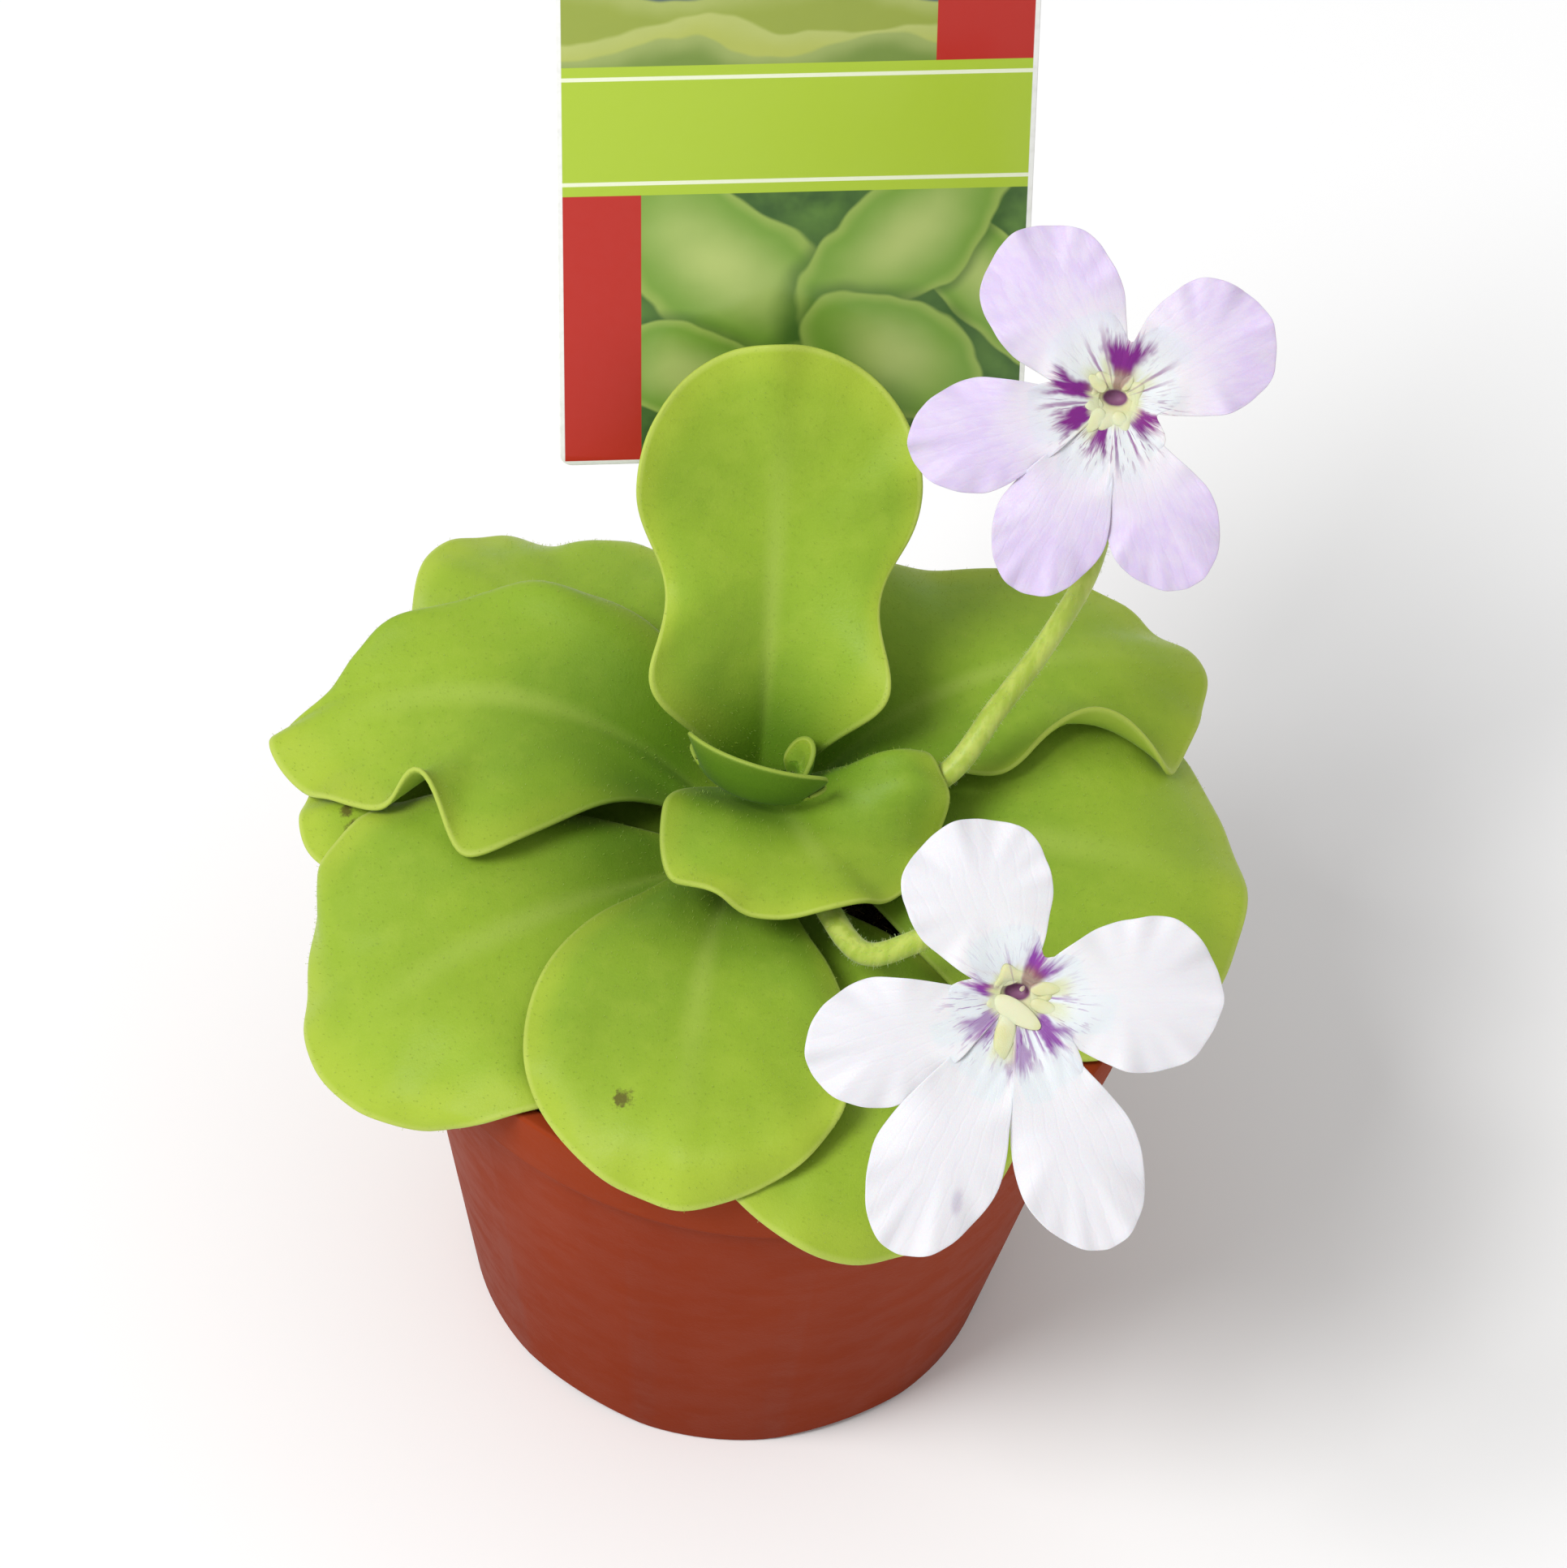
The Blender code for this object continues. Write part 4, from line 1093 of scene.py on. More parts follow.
def rosette_shade(place, along, upper):
    """How deep each place of a leaf lies in the shade of the rosette's middle."""
    core = distance_to(place, ROSETTE_HEART)
    high = axes_of(place)[2]
    level = eased(high, 64 * MM, 72 * MM, 0.4, 1.0) * eased(high, 74 * MM, 88 * MM, 1.0, 0.0)
    foot = eased(along, 0.08, 0.6, 0.85, 0.0) * level
    outer_face = eased(core, 14 * MM, 22 * MM, 0.85, 0.0) * (1 - upper)
    return calc("MAXIMUM", calc("MAXIMUM", eased(core, 4 * MM, 14 * MM, 0.85, 0.0), foot), outer_face)


def leaf_flesh():
    made, place = new_finish(
        "leaf_flesh", Specular_IOR_Level=0.13, Sheen_Weight=0.07, Sheen_Roughness=0.35,
        Sheen_Tint=(0.85, 1.0, 0.85, 1), Subsurface_Weight=0.12, Subsurface_Scale=0.002,
        Subsurface_Radius=(0.8, 1.0, 0.25))
    across, along, radius, upper = carried(place.tree, "across", "along", "radius", "upper")
    broad = cloudy(place, 55)
    mottle = cloudy(place, 300, 3.0, 0.6)
    glands = cloudy(place, 3400, 2.0, 0.7)
    midrib = eased(abs(across), 0.0, 0.13, 0.7, 0.0) * eased(along, 0.45, 0.95, 1.0, 0.0)
    colour = layered(
        (0.145, 0.300, 0.004),
        (eased(broad, 0.35, 0.65), (0.220, 0.385, 0.008)),
        (eased(along, 0.4, 1.0, 0.0, 0.5), (0.315, 0.430, 0.010)),
        (eased(mottle, 0.42, 0.72, 0.0, 0.22), (0.38, 0.50, 0.045)),
        (midrib, (0.36, 0.50, 0.075)),
        (eased(broad * 0.3 + radius, 0.92, 1.13, 0.0, 0.6), (0.40, 0.495, 0.030)),
        (eased(radius, 0.975, 0.998, 0.0, 0.6), (0.52, 0.58, 0.13)),
        (eased(upper, 0.0, 0.5, 0.65, 0.4), (0.34, 0.45, 0.07)),
        (rosette_shade(place, along, upper), (0.050, 0.140, 0.003)))
    for centre, size in SPECKS:
        apart = distance_to(place, tuple(x * MM for x in centre)) / (size * MM)
        ragged = (cloudy(place, 1300, 3.0, 0.7) - 0.5) * 2.4 + apart
        colour = layered(colour, (eased(ragged, 0.3, 1.0, 0.8, 0.0), (0.085, 0.055, 0.018)))
    return painted(made, colour, eased(mottle, 0.3, 0.7, 0.38, 0.5), glands * 0.5 + mottle, 0.3, 0.0003)


flesh = leaf_flesh()
print("leaf finish ready")

# %% Making the outer leaves
below = [node_tree_of("pot"), node_tree_of("soil"), node_tree_of("crown")]
leaf_sheets = {}
RIPPLE = 0.3
LEAF_THINNING = 0.45


def ripples(shape):
    """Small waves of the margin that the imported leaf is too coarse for, unlike on each leaf."""
    height = RIPPLE * smoothed((shape["length"] - 15) / 20)
    turn = shape["azimuth"]
    return (height, 11, 7 * turn), (0.6 * height, 17, 3 * turn)


def leaf_points(shape, across, along, softness=0.0):
    return blade(shape, *grid_axes(across, along), softness) * MM + CROWN_ORIGIN


def grow_leaf(name, shape):
    coarse = leaf_points(shape, LEAF_ACROSS, LEAF_ALONG)
    push, worst = read_push(name, coarse)
    rippled = dict(shape, waves=(*shape.get("waves", ()), *ripples(shape)))
    fine = leaf_points(rippled, FINE_ACROSS, FINE_ALONG, FOLD_SOFTNESS)
    fine = moved_out(fine, spread_out(push, FINE_ALONG, FINE_ACROSS))
    fine, moved = kept_clear(fine, below)
    points, faces, numbers = fleshy_sheet(fine, LEAF_THICKNESS, LEAF_THINNING)
    below.append(face_tree(points, faces))
    leaf_sheets[name] = (points, faces, numbers)
    print(name, "off the ray by", round(worst / MM, 4), "mm, cleared by", round(moved / MM, 2), "mm")
    add_piece("fleshy_" + name, made_mesh(name, points, faces, numbers), flesh, "leaf", name)


for name, shape in LEAVES.items():
    grow_leaf(name, shape)

# %% [markdown]
# ## The blooms' places and the stems
#
# Each flower stem rises between the outer leaves and the young ones and bends towards the front. Its
# route is a short list of knots, lifted clear of the leaves that it passes over by the same rule as
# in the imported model. At its top a small cup, the calyx, holds the bloom's tube. The stem is a tube
# along the route, a little thicker at its foot, and a turned cup with five pointed lobes.

# %% The stems' and blooms' values
SCAPES = {
    "scape_white": [(0.4, 5.4, 70), (5, -4, 73.5), (11, -14.5, 75.5), (16.7, -17, 81), (22.5, -19, 90),
                    (26, -28, 98), (27.3, -38, 102)],
    "scape_lilac": [(3.6, 9, 71), (9, 9, 75), (18.5, 10, 78.5), (24, 15.5, 85.5), (29, 17.5, 97),
                    (32.5, 20.5, 108), (33, 27, 121)],
}
SCAPE_RADIUS = 1.4 * MM
SCAPE_POINTS = 22
TUBE_LENGTH = 7.5 * MM
TUBE_END_RADIUS = 1.4 * MM
CALYX_DEPTH = 2.4 * MM
CALYX_RADIUS = 2.8 * MM
CALYX_FOOT = 2 * MM
PETAL = dict(start=1.5, rise=14, fall=-10, shoulder=0.7, trough=10, left_cup=-8, right_cup=-8)
PETAL_FOOT = -0.5
PETAL_STAGGER = 0.065
BLOOMS = {
    "bloom_lilac": dict(centre=(32, 23, 130), heading=-92, tilt=44,
                        petals=((129, 20, 15.4, 0.7), (37, 17.8, 15, 0.7), (202, 22, 12.6, 0.45),
                                (251, 22.2, 12.6, 0.42), (299, 20.8, 12.6, 0.42)),
                        webs=(6.6, 6.4, 6.5, 6.0, 4.8), mouth=0.3,
                        ridges=(((-1.2, -1.1), (-2.6, -3.8), 0.9, 0.24, 0.12),
                                ((-1.2, 0.9), (-3.2, 2.4), 0.7, 0.16, 0.12),
                                ((0.6, 1.3), (1.5, 3.0), 0.6, 0.14, 0.12),
                                ((0.0, -1.5), (1.6, -2.4), 0.8, 0.2, 0.1))),
    "bloom_white": dict(centre=(27.3, -46, 110), heading=-88, tilt=50,
                        petals=((115, 18, 16, 0.7), (6, 20.2, 16.6, 0.7), (203, 21.8, 13.6, 0.45),
                                (249, 28.5, 13.8, 0.42), (295, 26.8, 13.6, 0.42)),
                        webs=(5.0, 4.8, 6.5, 7.5, 6.9), mouth=0.5,
                        ridges=(((-2.4, -0.3), (2.7, -3.1), 1.2, 0.24, 0.14),
                                ((-0.7, -1.8), (-1.4, -7.2), 1.1, 0.32, 0.26),
                                ((1.3, 0.9), (4.6, 1.3), 0.75, 0.2, 0.14),
                                ((1.4, -0.5), (4.4, -1.2), 0.75, 0.2, 0.14),
                                ((0.3, 0.6), (0.7, 1.2), 0.24, 0.14, -0.45))),
}


def facing_frame(bloom):
    """A frame whose Z points out of a bloom's face, X to its right and Y up."""
    a, e = radians(bloom["heading"]), radians(bloom["tilt"])
    out = Vector((cos(e) * cos(a), cos(e) * sin(a), sin(e)))
    right = Vector((0, 0, 1)).cross(out).normalized()
    up = out.cross(right)
    face = Matrix((right, up, out)).transposed().to_4x4()
    face.translation = Vector(bloom["centre"]) * MM
    return face


def placed(points, face):
    """Points of a local frame, in the row frame."""
    turn = np.array(face.to_3x3())
    return points @ turn.T + np.array(face.translation)


print("blooms:", ", ".join(BLOOMS))

# %% The stems' finish
def stem_flesh():
    made, place = new_finish("stem_flesh", Specular_IOR_Level=0.4, Sheen_Weight=0.2, Sheen_Roughness=0.5,
                             Subsurface_Weight=0.2, Subsurface_Scale=0.0015)
    streaks = cloudy(scaled(place, (900, 900, 90)), 1.0, 3.0)
    colour = layered((0.36, 0.47, 0.05), (eased(streaks, 0.35, 0.65), (0.47, 0.56, 0.10)))
    return painted(made, colour, eased(streaks, 0.3, 0.7, 0.42, 0.55), streaks, 0.25, 0.0002)


stem_skin = stem_flesh()
print("stem finish ready")

# %% Making the stems
STEM_FINE = 110
STEM_SIDES = 20
CALYX_LOBES = 5
CALYX_STEPS = 80
CALYX_SEAT = -TUBE_LENGTH - GAP
STEM_SOFTENINGS = 4
STEM_EASE = 0.96
STEM_SEATED = 0.6
STEM_BEHIND = 2.25


def laid_route(knots, carriers):
    """A stem's route, lifted clear of the leaves that it passes over."""
    route = smooth_route(knots, SCAPE_POINTS) * MM
    push = np.array([shortfall(place, None, SCAPE_RADIUS + GAP, carriers) for place in route])
    for _ in range(STEM_SOFTENINGS):
        padded = np.pad(push, 1, mode="edge")
        push = np.maximum(push, (padded[2:] + padded[:-2]) / 2 * STEM_EASE)
    push[-3:] = 0
    return moved_out(route, push)


def calyx_cup(face):
    """A thin cup with five pointed lobes that clasp the foot of the bloom's tube."""
    around = all_round(CALYX_STEPS)
    lobe = np.abs(np.cos(around * CALYX_LOBES / 2)) ** 0.8
    inside, outside = TUBE_END_RADIUS + 0.25 * MM, CALYX_RADIUS
    stations = [(SCAPE_RADIUS * 0.75, -CALYX_FOOT, 0.0), (SCAPE_RADIUS * 1.2, -CALYX_FOOT * 0.55, 0.0),
                (outside * 0.78, -CALYX_FOOT * 0.1, 0.0), (outside * 0.88, CALYX_DEPTH * 0.35, 0.1),
                (outside * 0.86, CALYX_DEPTH * 0.6, 0.55), (outside * 0.93, CALYX_DEPTH * 0.75, 1.1),
                (outside * 0.88, CALYX_DEPTH * 0.75, 1.1), (inside * 1.12, CALYX_DEPTH * 0.55, 0.55),
                (inside * 1.05, CALYX_DEPTH * 0.3, 0.1), (inside, 0.1 * MM, 0.0)]
    rings = [ring(radius, around, CALYX_SEAT + height + rise * CALYX_DEPTH * lobe)
             for radius, height, rise in stations]
    poles = [(0, 0, CALYX_SEAT - CALYX_FOOT), (0, 0, CALYX_SEAT + 0.1 * MM)]
    return placed(np.vstack([*rings, poles]), face), ring_faces(len(stations), CALYX_STEPS)


def grow_stem(name, knots):
    face = facing_frame(BLOOMS[name.replace("scape", "bloom")])
    route = laid_route(knots, packed_below)
    route[-1] = face @ Vector((0, 0, CALYX_SEAT - CALYX_FOOT * STEM_SEATED))
    behind = np.array(face @ Vector((0, 0, CALYX_SEAT - CALYX_FOOT * STEM_BEHIND)))
    route[-2] = behind * 0.6 + route[-3] * 0.4
    fine = smooth_route(route, STEM_FINE)
    share = np.linspace(0, 1, STEM_FINE)
    radii = SCAPE_RADIUS * (1.1 - 0.3 * share + 0.12 * bell(share, 1, 0.03))
    stem = tube(fine, radii, STEM_SIDES)
    points, faces = joined([stem, calyx_cup(face)])
    below.append(face_tree(*stem))
    mesh = made_mesh(name, points, faces)
    stem_sheets.append((*stem, {"upper": np.ones(len(stem[0]))}))
    add_piece("fleshy_" + name, mesh, stem_skin, "stem", name)


stem_sheets = []
packed_below = [node_tree_of(name) for name in ["pot", "soil", "crown", *LEAVES]]
for name, knots in SCAPES.items():
    grow_stem(name, knots)
    packed_below.append(node_tree_of(name))

# %% Making the young leaves
for name, shape in YOUNG_LEAVES.items():
    grow_leaf(name, shape)

# %% [markdown]
# ## Gland hairs
#
# The leaves catch gnats with thousands of short hairs, each with a clear drop of glue on its end, and
# the stems carry finer ones. Hair curves would be lost in the export, so each hair is real: a thin
# three-sided spike with a small eight-sided drop. A geometry-node tree stands one on each scattered
# point, and leaves out the points that another leaf lies close over.

# %% Gland hairs
HAIR_START = 0.1 * MM
HAIR_SIGHT = 1.6 * MM
HAIR_LEAN = 0.22


def hair_tree(name, finish):
    tree, given = growing_tree(
        name, ("Hair length", "Float"), ("Hair radius", "Float"), ("Drop radius", "Float"))
    spots = scattered(tree, given, HAIR_LEAN)

    # A hair stands only where it looks up and sees no other leaf close above.
    place = read(tree, "GeometryNodeInputPosition")
    up = read(tree, "FunctionNodeRotateVector", {0: (0.0, 0.0, 1.0), 1: spots["Rotation"]})
    start = read(tree, "ShaderNodeVectorMath", {0: up, 1: (HAIR_START,) * 3, 2: place},
                 operation="MULTIPLY_ADD")
    covered = read(tree, "GeometryNodeRaycast", {
        "Target Geometry": given["Surface"], "Source Position": start, "Ray Direction": up,
        "Ray Length": HAIR_SIGHT}, "Is Hit")
    free = read(tree, "FunctionNodeBooleanMath", {0: covered}, operation="NOT")

    # The spike, and the drop on its end.
    spike = read(tree, "GeometryNodeMeshCone", {
        "Vertices": 3, "Radius Top": Field(given["Hair radius"]) * 0.5, "Radius Bottom": given["Hair radius"],
        "Depth": given["Hair length"]}, fill_type="NONE")
    drop = read(tree, "GeometryNodeMeshUVSphere", {"Segments": 4, "Rings": 2, "Radius": given["Drop radius"]})
    tip = read(tree, "ShaderNodeCombineXYZ", {2: given["Hair length"]})
    raised = read(tree, "GeometryNodeTransform", {"Geometry": drop, "Translation": tip})
    hair = step(tree, "GeometryNodeJoinGeometry", {0: spike})
    feed(tree, hair.inputs[0], raised)
    return ended(tree, stood(tree, spots, hair.outputs[0], Selection=free), finish)


def one_surface(name, sheets):
    """Several sheets as one mesh that carries upper, to grow hairs on."""
    points, faces = joined([sheet[:2] for sheet in sheets])
    return made_mesh(name, points, faces, {"upper": np.concatenate([sheet[2]["upper"] for sheet in sheets])})


def gland_finish(name, low, high):
    made, place = new_finish(name, Specular_IOR_Level=0.5, Subsurface_Weight=0.2, Subsurface_Scale=0.0005)
    shade = cloudy(place, 1500)
    return painted(made, layered(low, (eased(shade, 0.35, 0.65), high)), eased(shade, 0.3, 0.7, 0.12, 0.3))


leaf_glands = gland_finish("leaf_glands", (0.30, 0.42, 0.05), (0.42, 0.52, 0.12))
stem_glands = gland_finish("stem_glands", (0.50, 0.56, 0.22), (0.62, 0.66, 0.36))
leaf_hairs = hair_tree("leaf_hairs", leaf_glands)
LEAF_HAIR = dict(Density=0.9e6, Hair_length=0.32 * MM, Hair_radius=0.028 * MM, Drop_radius=0.05 * MM,
                 Least_size=0.55, Seed=11)
STEM_HAIR = dict(Density=2.4e6, Hair_length=0.4 * MM, Hair_radius=0.022 * MM, Drop_radius=0.035 * MM,
                 Least_size=0.5, Seed=5)
for name, sheets, tree, finish, slot, numbers in (
        ("outer", [leaf_sheets[leaf] for leaf in LEAVES], leaf_hairs, leaf_glands, "leaf", LEAF_HAIR),
        ("young", [leaf_sheets[leaf] for leaf in YOUNG_LEAVES], leaf_hairs, leaf_glands, "leaf", LEAF_HAIR),
        ("stems", stem_sheets, hair_tree("stem_hairs", stem_glands), stem_glands, "stem", STEM_HAIR)):
    mesh = grown(name, one_surface(name, sheets), tree, **numbers)
    add_piece("gland_hairs_" + name, mesh, finish, slot)

# %% [markdown]
# ## The petals' finish
#
# A butterwort's petal is paper thin and slightly pearly. It is white at the throat and, on the lilac
# bloom, washes into lilac outwards, with faint long veins. Deep purple patches lie where two petals
# meet, with fine streaks running out of them, round a cream-yellow throat. Colour alone makes these,
# so the mesh carries each point's place in the bloom's face and the nodes paint from it.

# %% The petals' finish
def wedges(most, turn, far, rows, core, before, after, strength=1.0):
    """The most of a field and of wedges, each with an angle, a width, a reach and perhaps a strength."""
    for angle, width, reach, *own in rows:
        near = eased(calc("COSINE", turn - radians(angle)), cos(radians(width)), cos(radians(width * core)))
        here = near * eased(far, reach - before, reach + after, *(own or [strength]), 0.0)
        most = calc("MAXIMUM", most, here)
    return most


def petal_finish(name, ground, wash, wash_share, purple, patches, hairlines, cream_lobes, mark=None):
    made, place = new_finish(name, Specular_IOR_Level=0.25, Sheen_Weight=0.12, Sheen_Roughness=0.4,
                             Subsurface_Weight=0.12, Subsurface_Scale=0.001)
    face_x, face_y, face_z, across, along, upper, outside = carried(
        place.tree, "face_x", "face_y", "face_z", "across", "along", "upper", "outside")
    out = length_of(face_x, face_y)
    turn = calc("ARCTAN2", face_y, face_x)
    ray = read(place.tree, "ShaderNodeCombineXYZ", {0: face_x / out, 1: face_y / out, 2: out * 0.02})
    streak = cloudy(ray, 9.0, 3.0, 0.7)
    fine_streak = cloudy(ray, 22.0, 2.0, 0.6)
    soft = cloudy(place, 260, 3.0)
    sparkle = cloudy(place, 6500, 2.0, 0.8)

    # The wash of colour, the veins that fan out in the petals' outer half, and fine rays from the throat.
    washed = (eased(out, 5.0, 16.0) * wash_share * eased(soft, 0.2, 0.75, 0.75, 1.15)
              * eased(fine_streak, 0.35, 0.62, 1.05, 0.8))
    lines = abs(calc("SINE", across * 15.0 + soft * 3.5))
    veins = eased(lines, 0.0, 0.5, 1.0, 0.0) * eased(along, 0.15, 0.5)
    rays = (eased(fine_streak, 0.56, 0.63) * eased(out, 4.5, 10.0, 0.7, 0.0)
            * eased(face_y, 3.0, -2.0, 0.25, 1.0))

    # The purple patches with feathered ends, and the hairlines that run out of them.
    stain = wedges(0.0, (soft - 0.5) * 0.7 + turn, (streak - 0.5) * 7.0 + out, patches, 0.55, 1.6, 1.0)
    stain = wedges(stain, soft * 0.12 + turn - radians(3.5), out, hairlines, 0.0, 4.0, 0.0, 0.7)
    top = stain * eased(face_y, 0.3, 1.5)

    # The cream-yellow throat, with lobes that run out along some petals, and the palate.
    lobed = (streak - 0.5) * 1.8 + out
    cream = wedges(eased(lobed, 2.3, 3.6, 1.0, 0.0), turn, lobed, cream_lobes, 0.5, 1.8, 0.9, 0.9)
    palate = eased(upper, 1.5, 1.9)
    pale_cream = layered((0.60, 0.59, 0.30), (eased(soft, 0.35, 0.65), (0.66, 0.66, 0.44)))
    in_tube = eased(face_z, -1.1, -0.35, 1.0, 0.0) * (1 - palate) * eased(out, 1.9, 2.1, 1.0, 0.0)

    colour = layered(
        ground, (washed, wash), (veins * (0.1 * wash_share), wash), (rays, purple), (stain, purple),
        (top * eased(out, 2.9, 4.2, 0.8, 0.0), (0.22, 0.075, 0.075)),
        (calc("MAXIMUM", cream, palate) * (1 - top * 0.7), pale_cream), (in_tube, (0.25, 0.10, 0.20)),
        (eased(face_z, -1.7, -0.9, 1.0, 0.0) * outside, (0.50, 0.56, 0.30)))
    if mark:
        apart = length_of(face_x - mark[0], (face_y - mark[1]) * 0.45)
        colour = layered(colour, (eased(apart + soft, 0.7, 1.3, 0.5, 0.0), (0.42, 0.38, 0.50)))
    gloss = eased(sparkle, 0.35, 0.65, 0.28, 0.6)
    return painted(made, colour, gloss, sparkle * 0.6 - veins * 0.3, 0.35, 0.00015)


petal_finishes = {
    "bloom_lilac": petal_finish(
        "lilac_petal", (0.72, 0.71, 0.715), (0.61, 0.515, 0.735), 1.0, (0.19, 0.014, 0.20),
        ((85, 25, 7.2, 1.0), (170, 19, 7.4, 1.0), (212, 14, 6.8, 1.0), (256, 16, 6.4, 1.0),
         (330, 22, 5.8, 1.0)),
        ((124, 3.0, 8.5), (108, 3.0, 9.5), (40, 3.0, 9.0), (27, 2.5, 7.5), (192, 3.0, 9.5), (280, 2.5, 9.5),
         (301, 2.5, 9.0)),
        ((140, 15, 4.8), (112, 10, 5.0), (236, 14, 5.4), (60, 12, 4.6), (38, 12, 5.0))),
    "bloom_white": petal_finish(
        "white_petal", (0.715, 0.715, 0.73), (0.68, 0.675, 0.725), 0.6, (0.23, 0.040, 0.30),
        ((57, 30, 5.8, 1.0), (168, 19, 5.2, 1.0), (222, 17, 6.4, 0.7), (276, 10, 8.0, 0.7),
         (320, 19, 7.0, 0.95)),
        ((2, 2.5, 7.5), (290, 2.5, 9.0), (300, 2.5, 8.0), (108, 3.0, 6.0)),
        ((260, 15, 7.4), (17, 14, 5.8), (345, 14, 5.8), (200, 12, 3.6)), (-4.6, -22.0)),
}
print("petal finishes:", len(petal_finishes))

# %% [markdown]
# ## The blooms
#
# A bloom is one grown piece: five petals, a short tube behind them with a thin spur, and a throat
# whose rim runs out a little way along the middle of each petal. Petals are fleshy sheets from the
# leaf formula. The tube and throat are one turned wall, closed at the back, whose rim is pulled out
# and lifted towards each petal. Low ridges on the lower petals, the palate, guide an insect in.

# %% The parts of a bloom
PETAL_FINE = 36
PETAL_EDGE = 0.36 * MM
PETAL_THINNING = 0.4
PETAL_SOFTNESS = 0.5
SQUARE_TIP = ((0.10, 46, 26), (0.10, -46, 26))
PETAL_NICKS = 9
NICK_DEPTH = 0.022
PETAL_WAVES = ((0.4, 5, 70), (0.3, 8, 40), (0.14, 17, 95))
WEB_ACROSS = 28
WEB_ALONG = 16
WEB_INNER = 1.9
WEB_EDGE = 0.16 * MM
SPUR_ROUTE = [(-0.2, -0.3, -2), (-1.8, -2.4, -3.9), (-3.5, -3.8, -7), (-5, -4.4, -11), (-6, -4.6, -15)]
SPUR_RADIUS = 0.8 * MM
SPUR_TAPER = (1.25, 0.6)
SPUR_TIP = (0.92, 0.72, 0.4)
SPUR_FINE = 40
SPUR_SIDES = 16
THROAT_STEPS = 96
RIM_SPREAD = radians(15)


def petal_shape(bloom, k):
    azimuth, length, width, neck = bloom["petals"][k]
    edge = tuple((NICK_DEPTH * (-1) ** n, -100 + 25 * n + 9 * k, 8) for n in range(PETAL_NICKS))
    return dict(PETAL, azimuth=azimuth, length=length, width=width, neck=neck, lobes=(*SQUARE_TIP, *edge),
                base=PETAL_FOOT + PETAL_STAGGER * (2 * k % 5),
                waves=tuple((height, count, phase * k) for height, count, phase in PETAL_WAVES))


def petals(bloom):
    """The bloom's petals in its own frame, each a thin sheet."""
    sheets = []
    for k in range(len(bloom["petals"])):
        middle = blade(petal_shape(bloom, k), *grid_axes(PETAL_FINE, PETAL_FINE), PETAL_SOFTNESS) * MM
        sheets.append(fleshy_sheet(middle, PETAL_EDGE, PETAL_THINNING))
    return sheets


def webs(bloom, sheets):
    """The sheets that join each petal to the next round the throat, as far out as the bloom says."""
    tree = face_tree(*joined([sheet[:2] for sheet in sheets]))
    order = sorted(range(5), key=lambda k: bloom["petals"][k][0])
    u, v = grid_axes(WEB_ACROSS, WEB_ALONG)
    made = []
    for first, second, reach in zip(order, order[1:] + order[:1], bloom["webs"]):
        start, end = (bloom["petals"][k][0] for k in (first, second))
        a = np.radians(start + (u + 1) / 2 * ((end - start) % 360))
        edge = reach * (1 + 0.5 * smoothed(np.abs(u) / 0.45))
        out = (WEB_INNER + (edge - WEB_INNER) * (v + 1) / 2) * MM
        points = ring(out, a, 0)
        for row in points:
            hits = [tree.ray_cast(Vector((x, y, -10 * MM)), Vector((0, 0, 1)))[0] for x, y, _ in row]
            known = [k for k, hit in enumerate(hits) if hit is not None]
            row[:, 2] = np.interp(np.arange(len(row)), known, [hits[k].z + PETAL_EDGE / 2 for k in known])
        made.append(fleshy_sheet(points[:, ::-1], WEB_EDGE, 0))
    return made


def towards_petals(bloom, around):
    """1 in the middle of each petal's direction and 0 between them."""
    share = np.zeros(len(around))
    for azimuth, *_ in bloom["petals"]:
        apart = (around - radians(azimuth) + pi) % (2 * pi) - pi
        share = np.maximum(share, bell(apart, 0, RIM_SPREAD))
    return share


THROAT = [
    (0.85, -7.5, 0), (1.25, -7.4, 0), (1.4, -7.1, 0), (1.45, -5, 0), (1.7, -2.6, 0), (2.05, -1.4, 0),
    (2.5, -0.6, 0.1), (2.95, -0.2, 0.5), (3.15, 0.05, 1.0), (2.95, 0.2, 1.0), (2.5, 0.24, 0.7),
    (2.05, 0.08, 0.4), (1.65, -0.2, 0.2), (1.3, -0.45, 0.1), (1.12, -0.75, 0.05), (1.0, -1.1, 0),
    (0.8, -1.4, 0), (0.45, -1.55, 0),
]
THROAT_OUTSIDE = 8
THROAT_FOLD = 5
FOLD_REACH = 0.9
FOLD_RISE = 0.24
MOUTH_WIDER = 0.2
MOUTH_FLATTER = 0.22
PALATE = 2.0
RIDGE_RISE = 0.1
FURROWS = 5
FURROW_DEPTH = 0.18


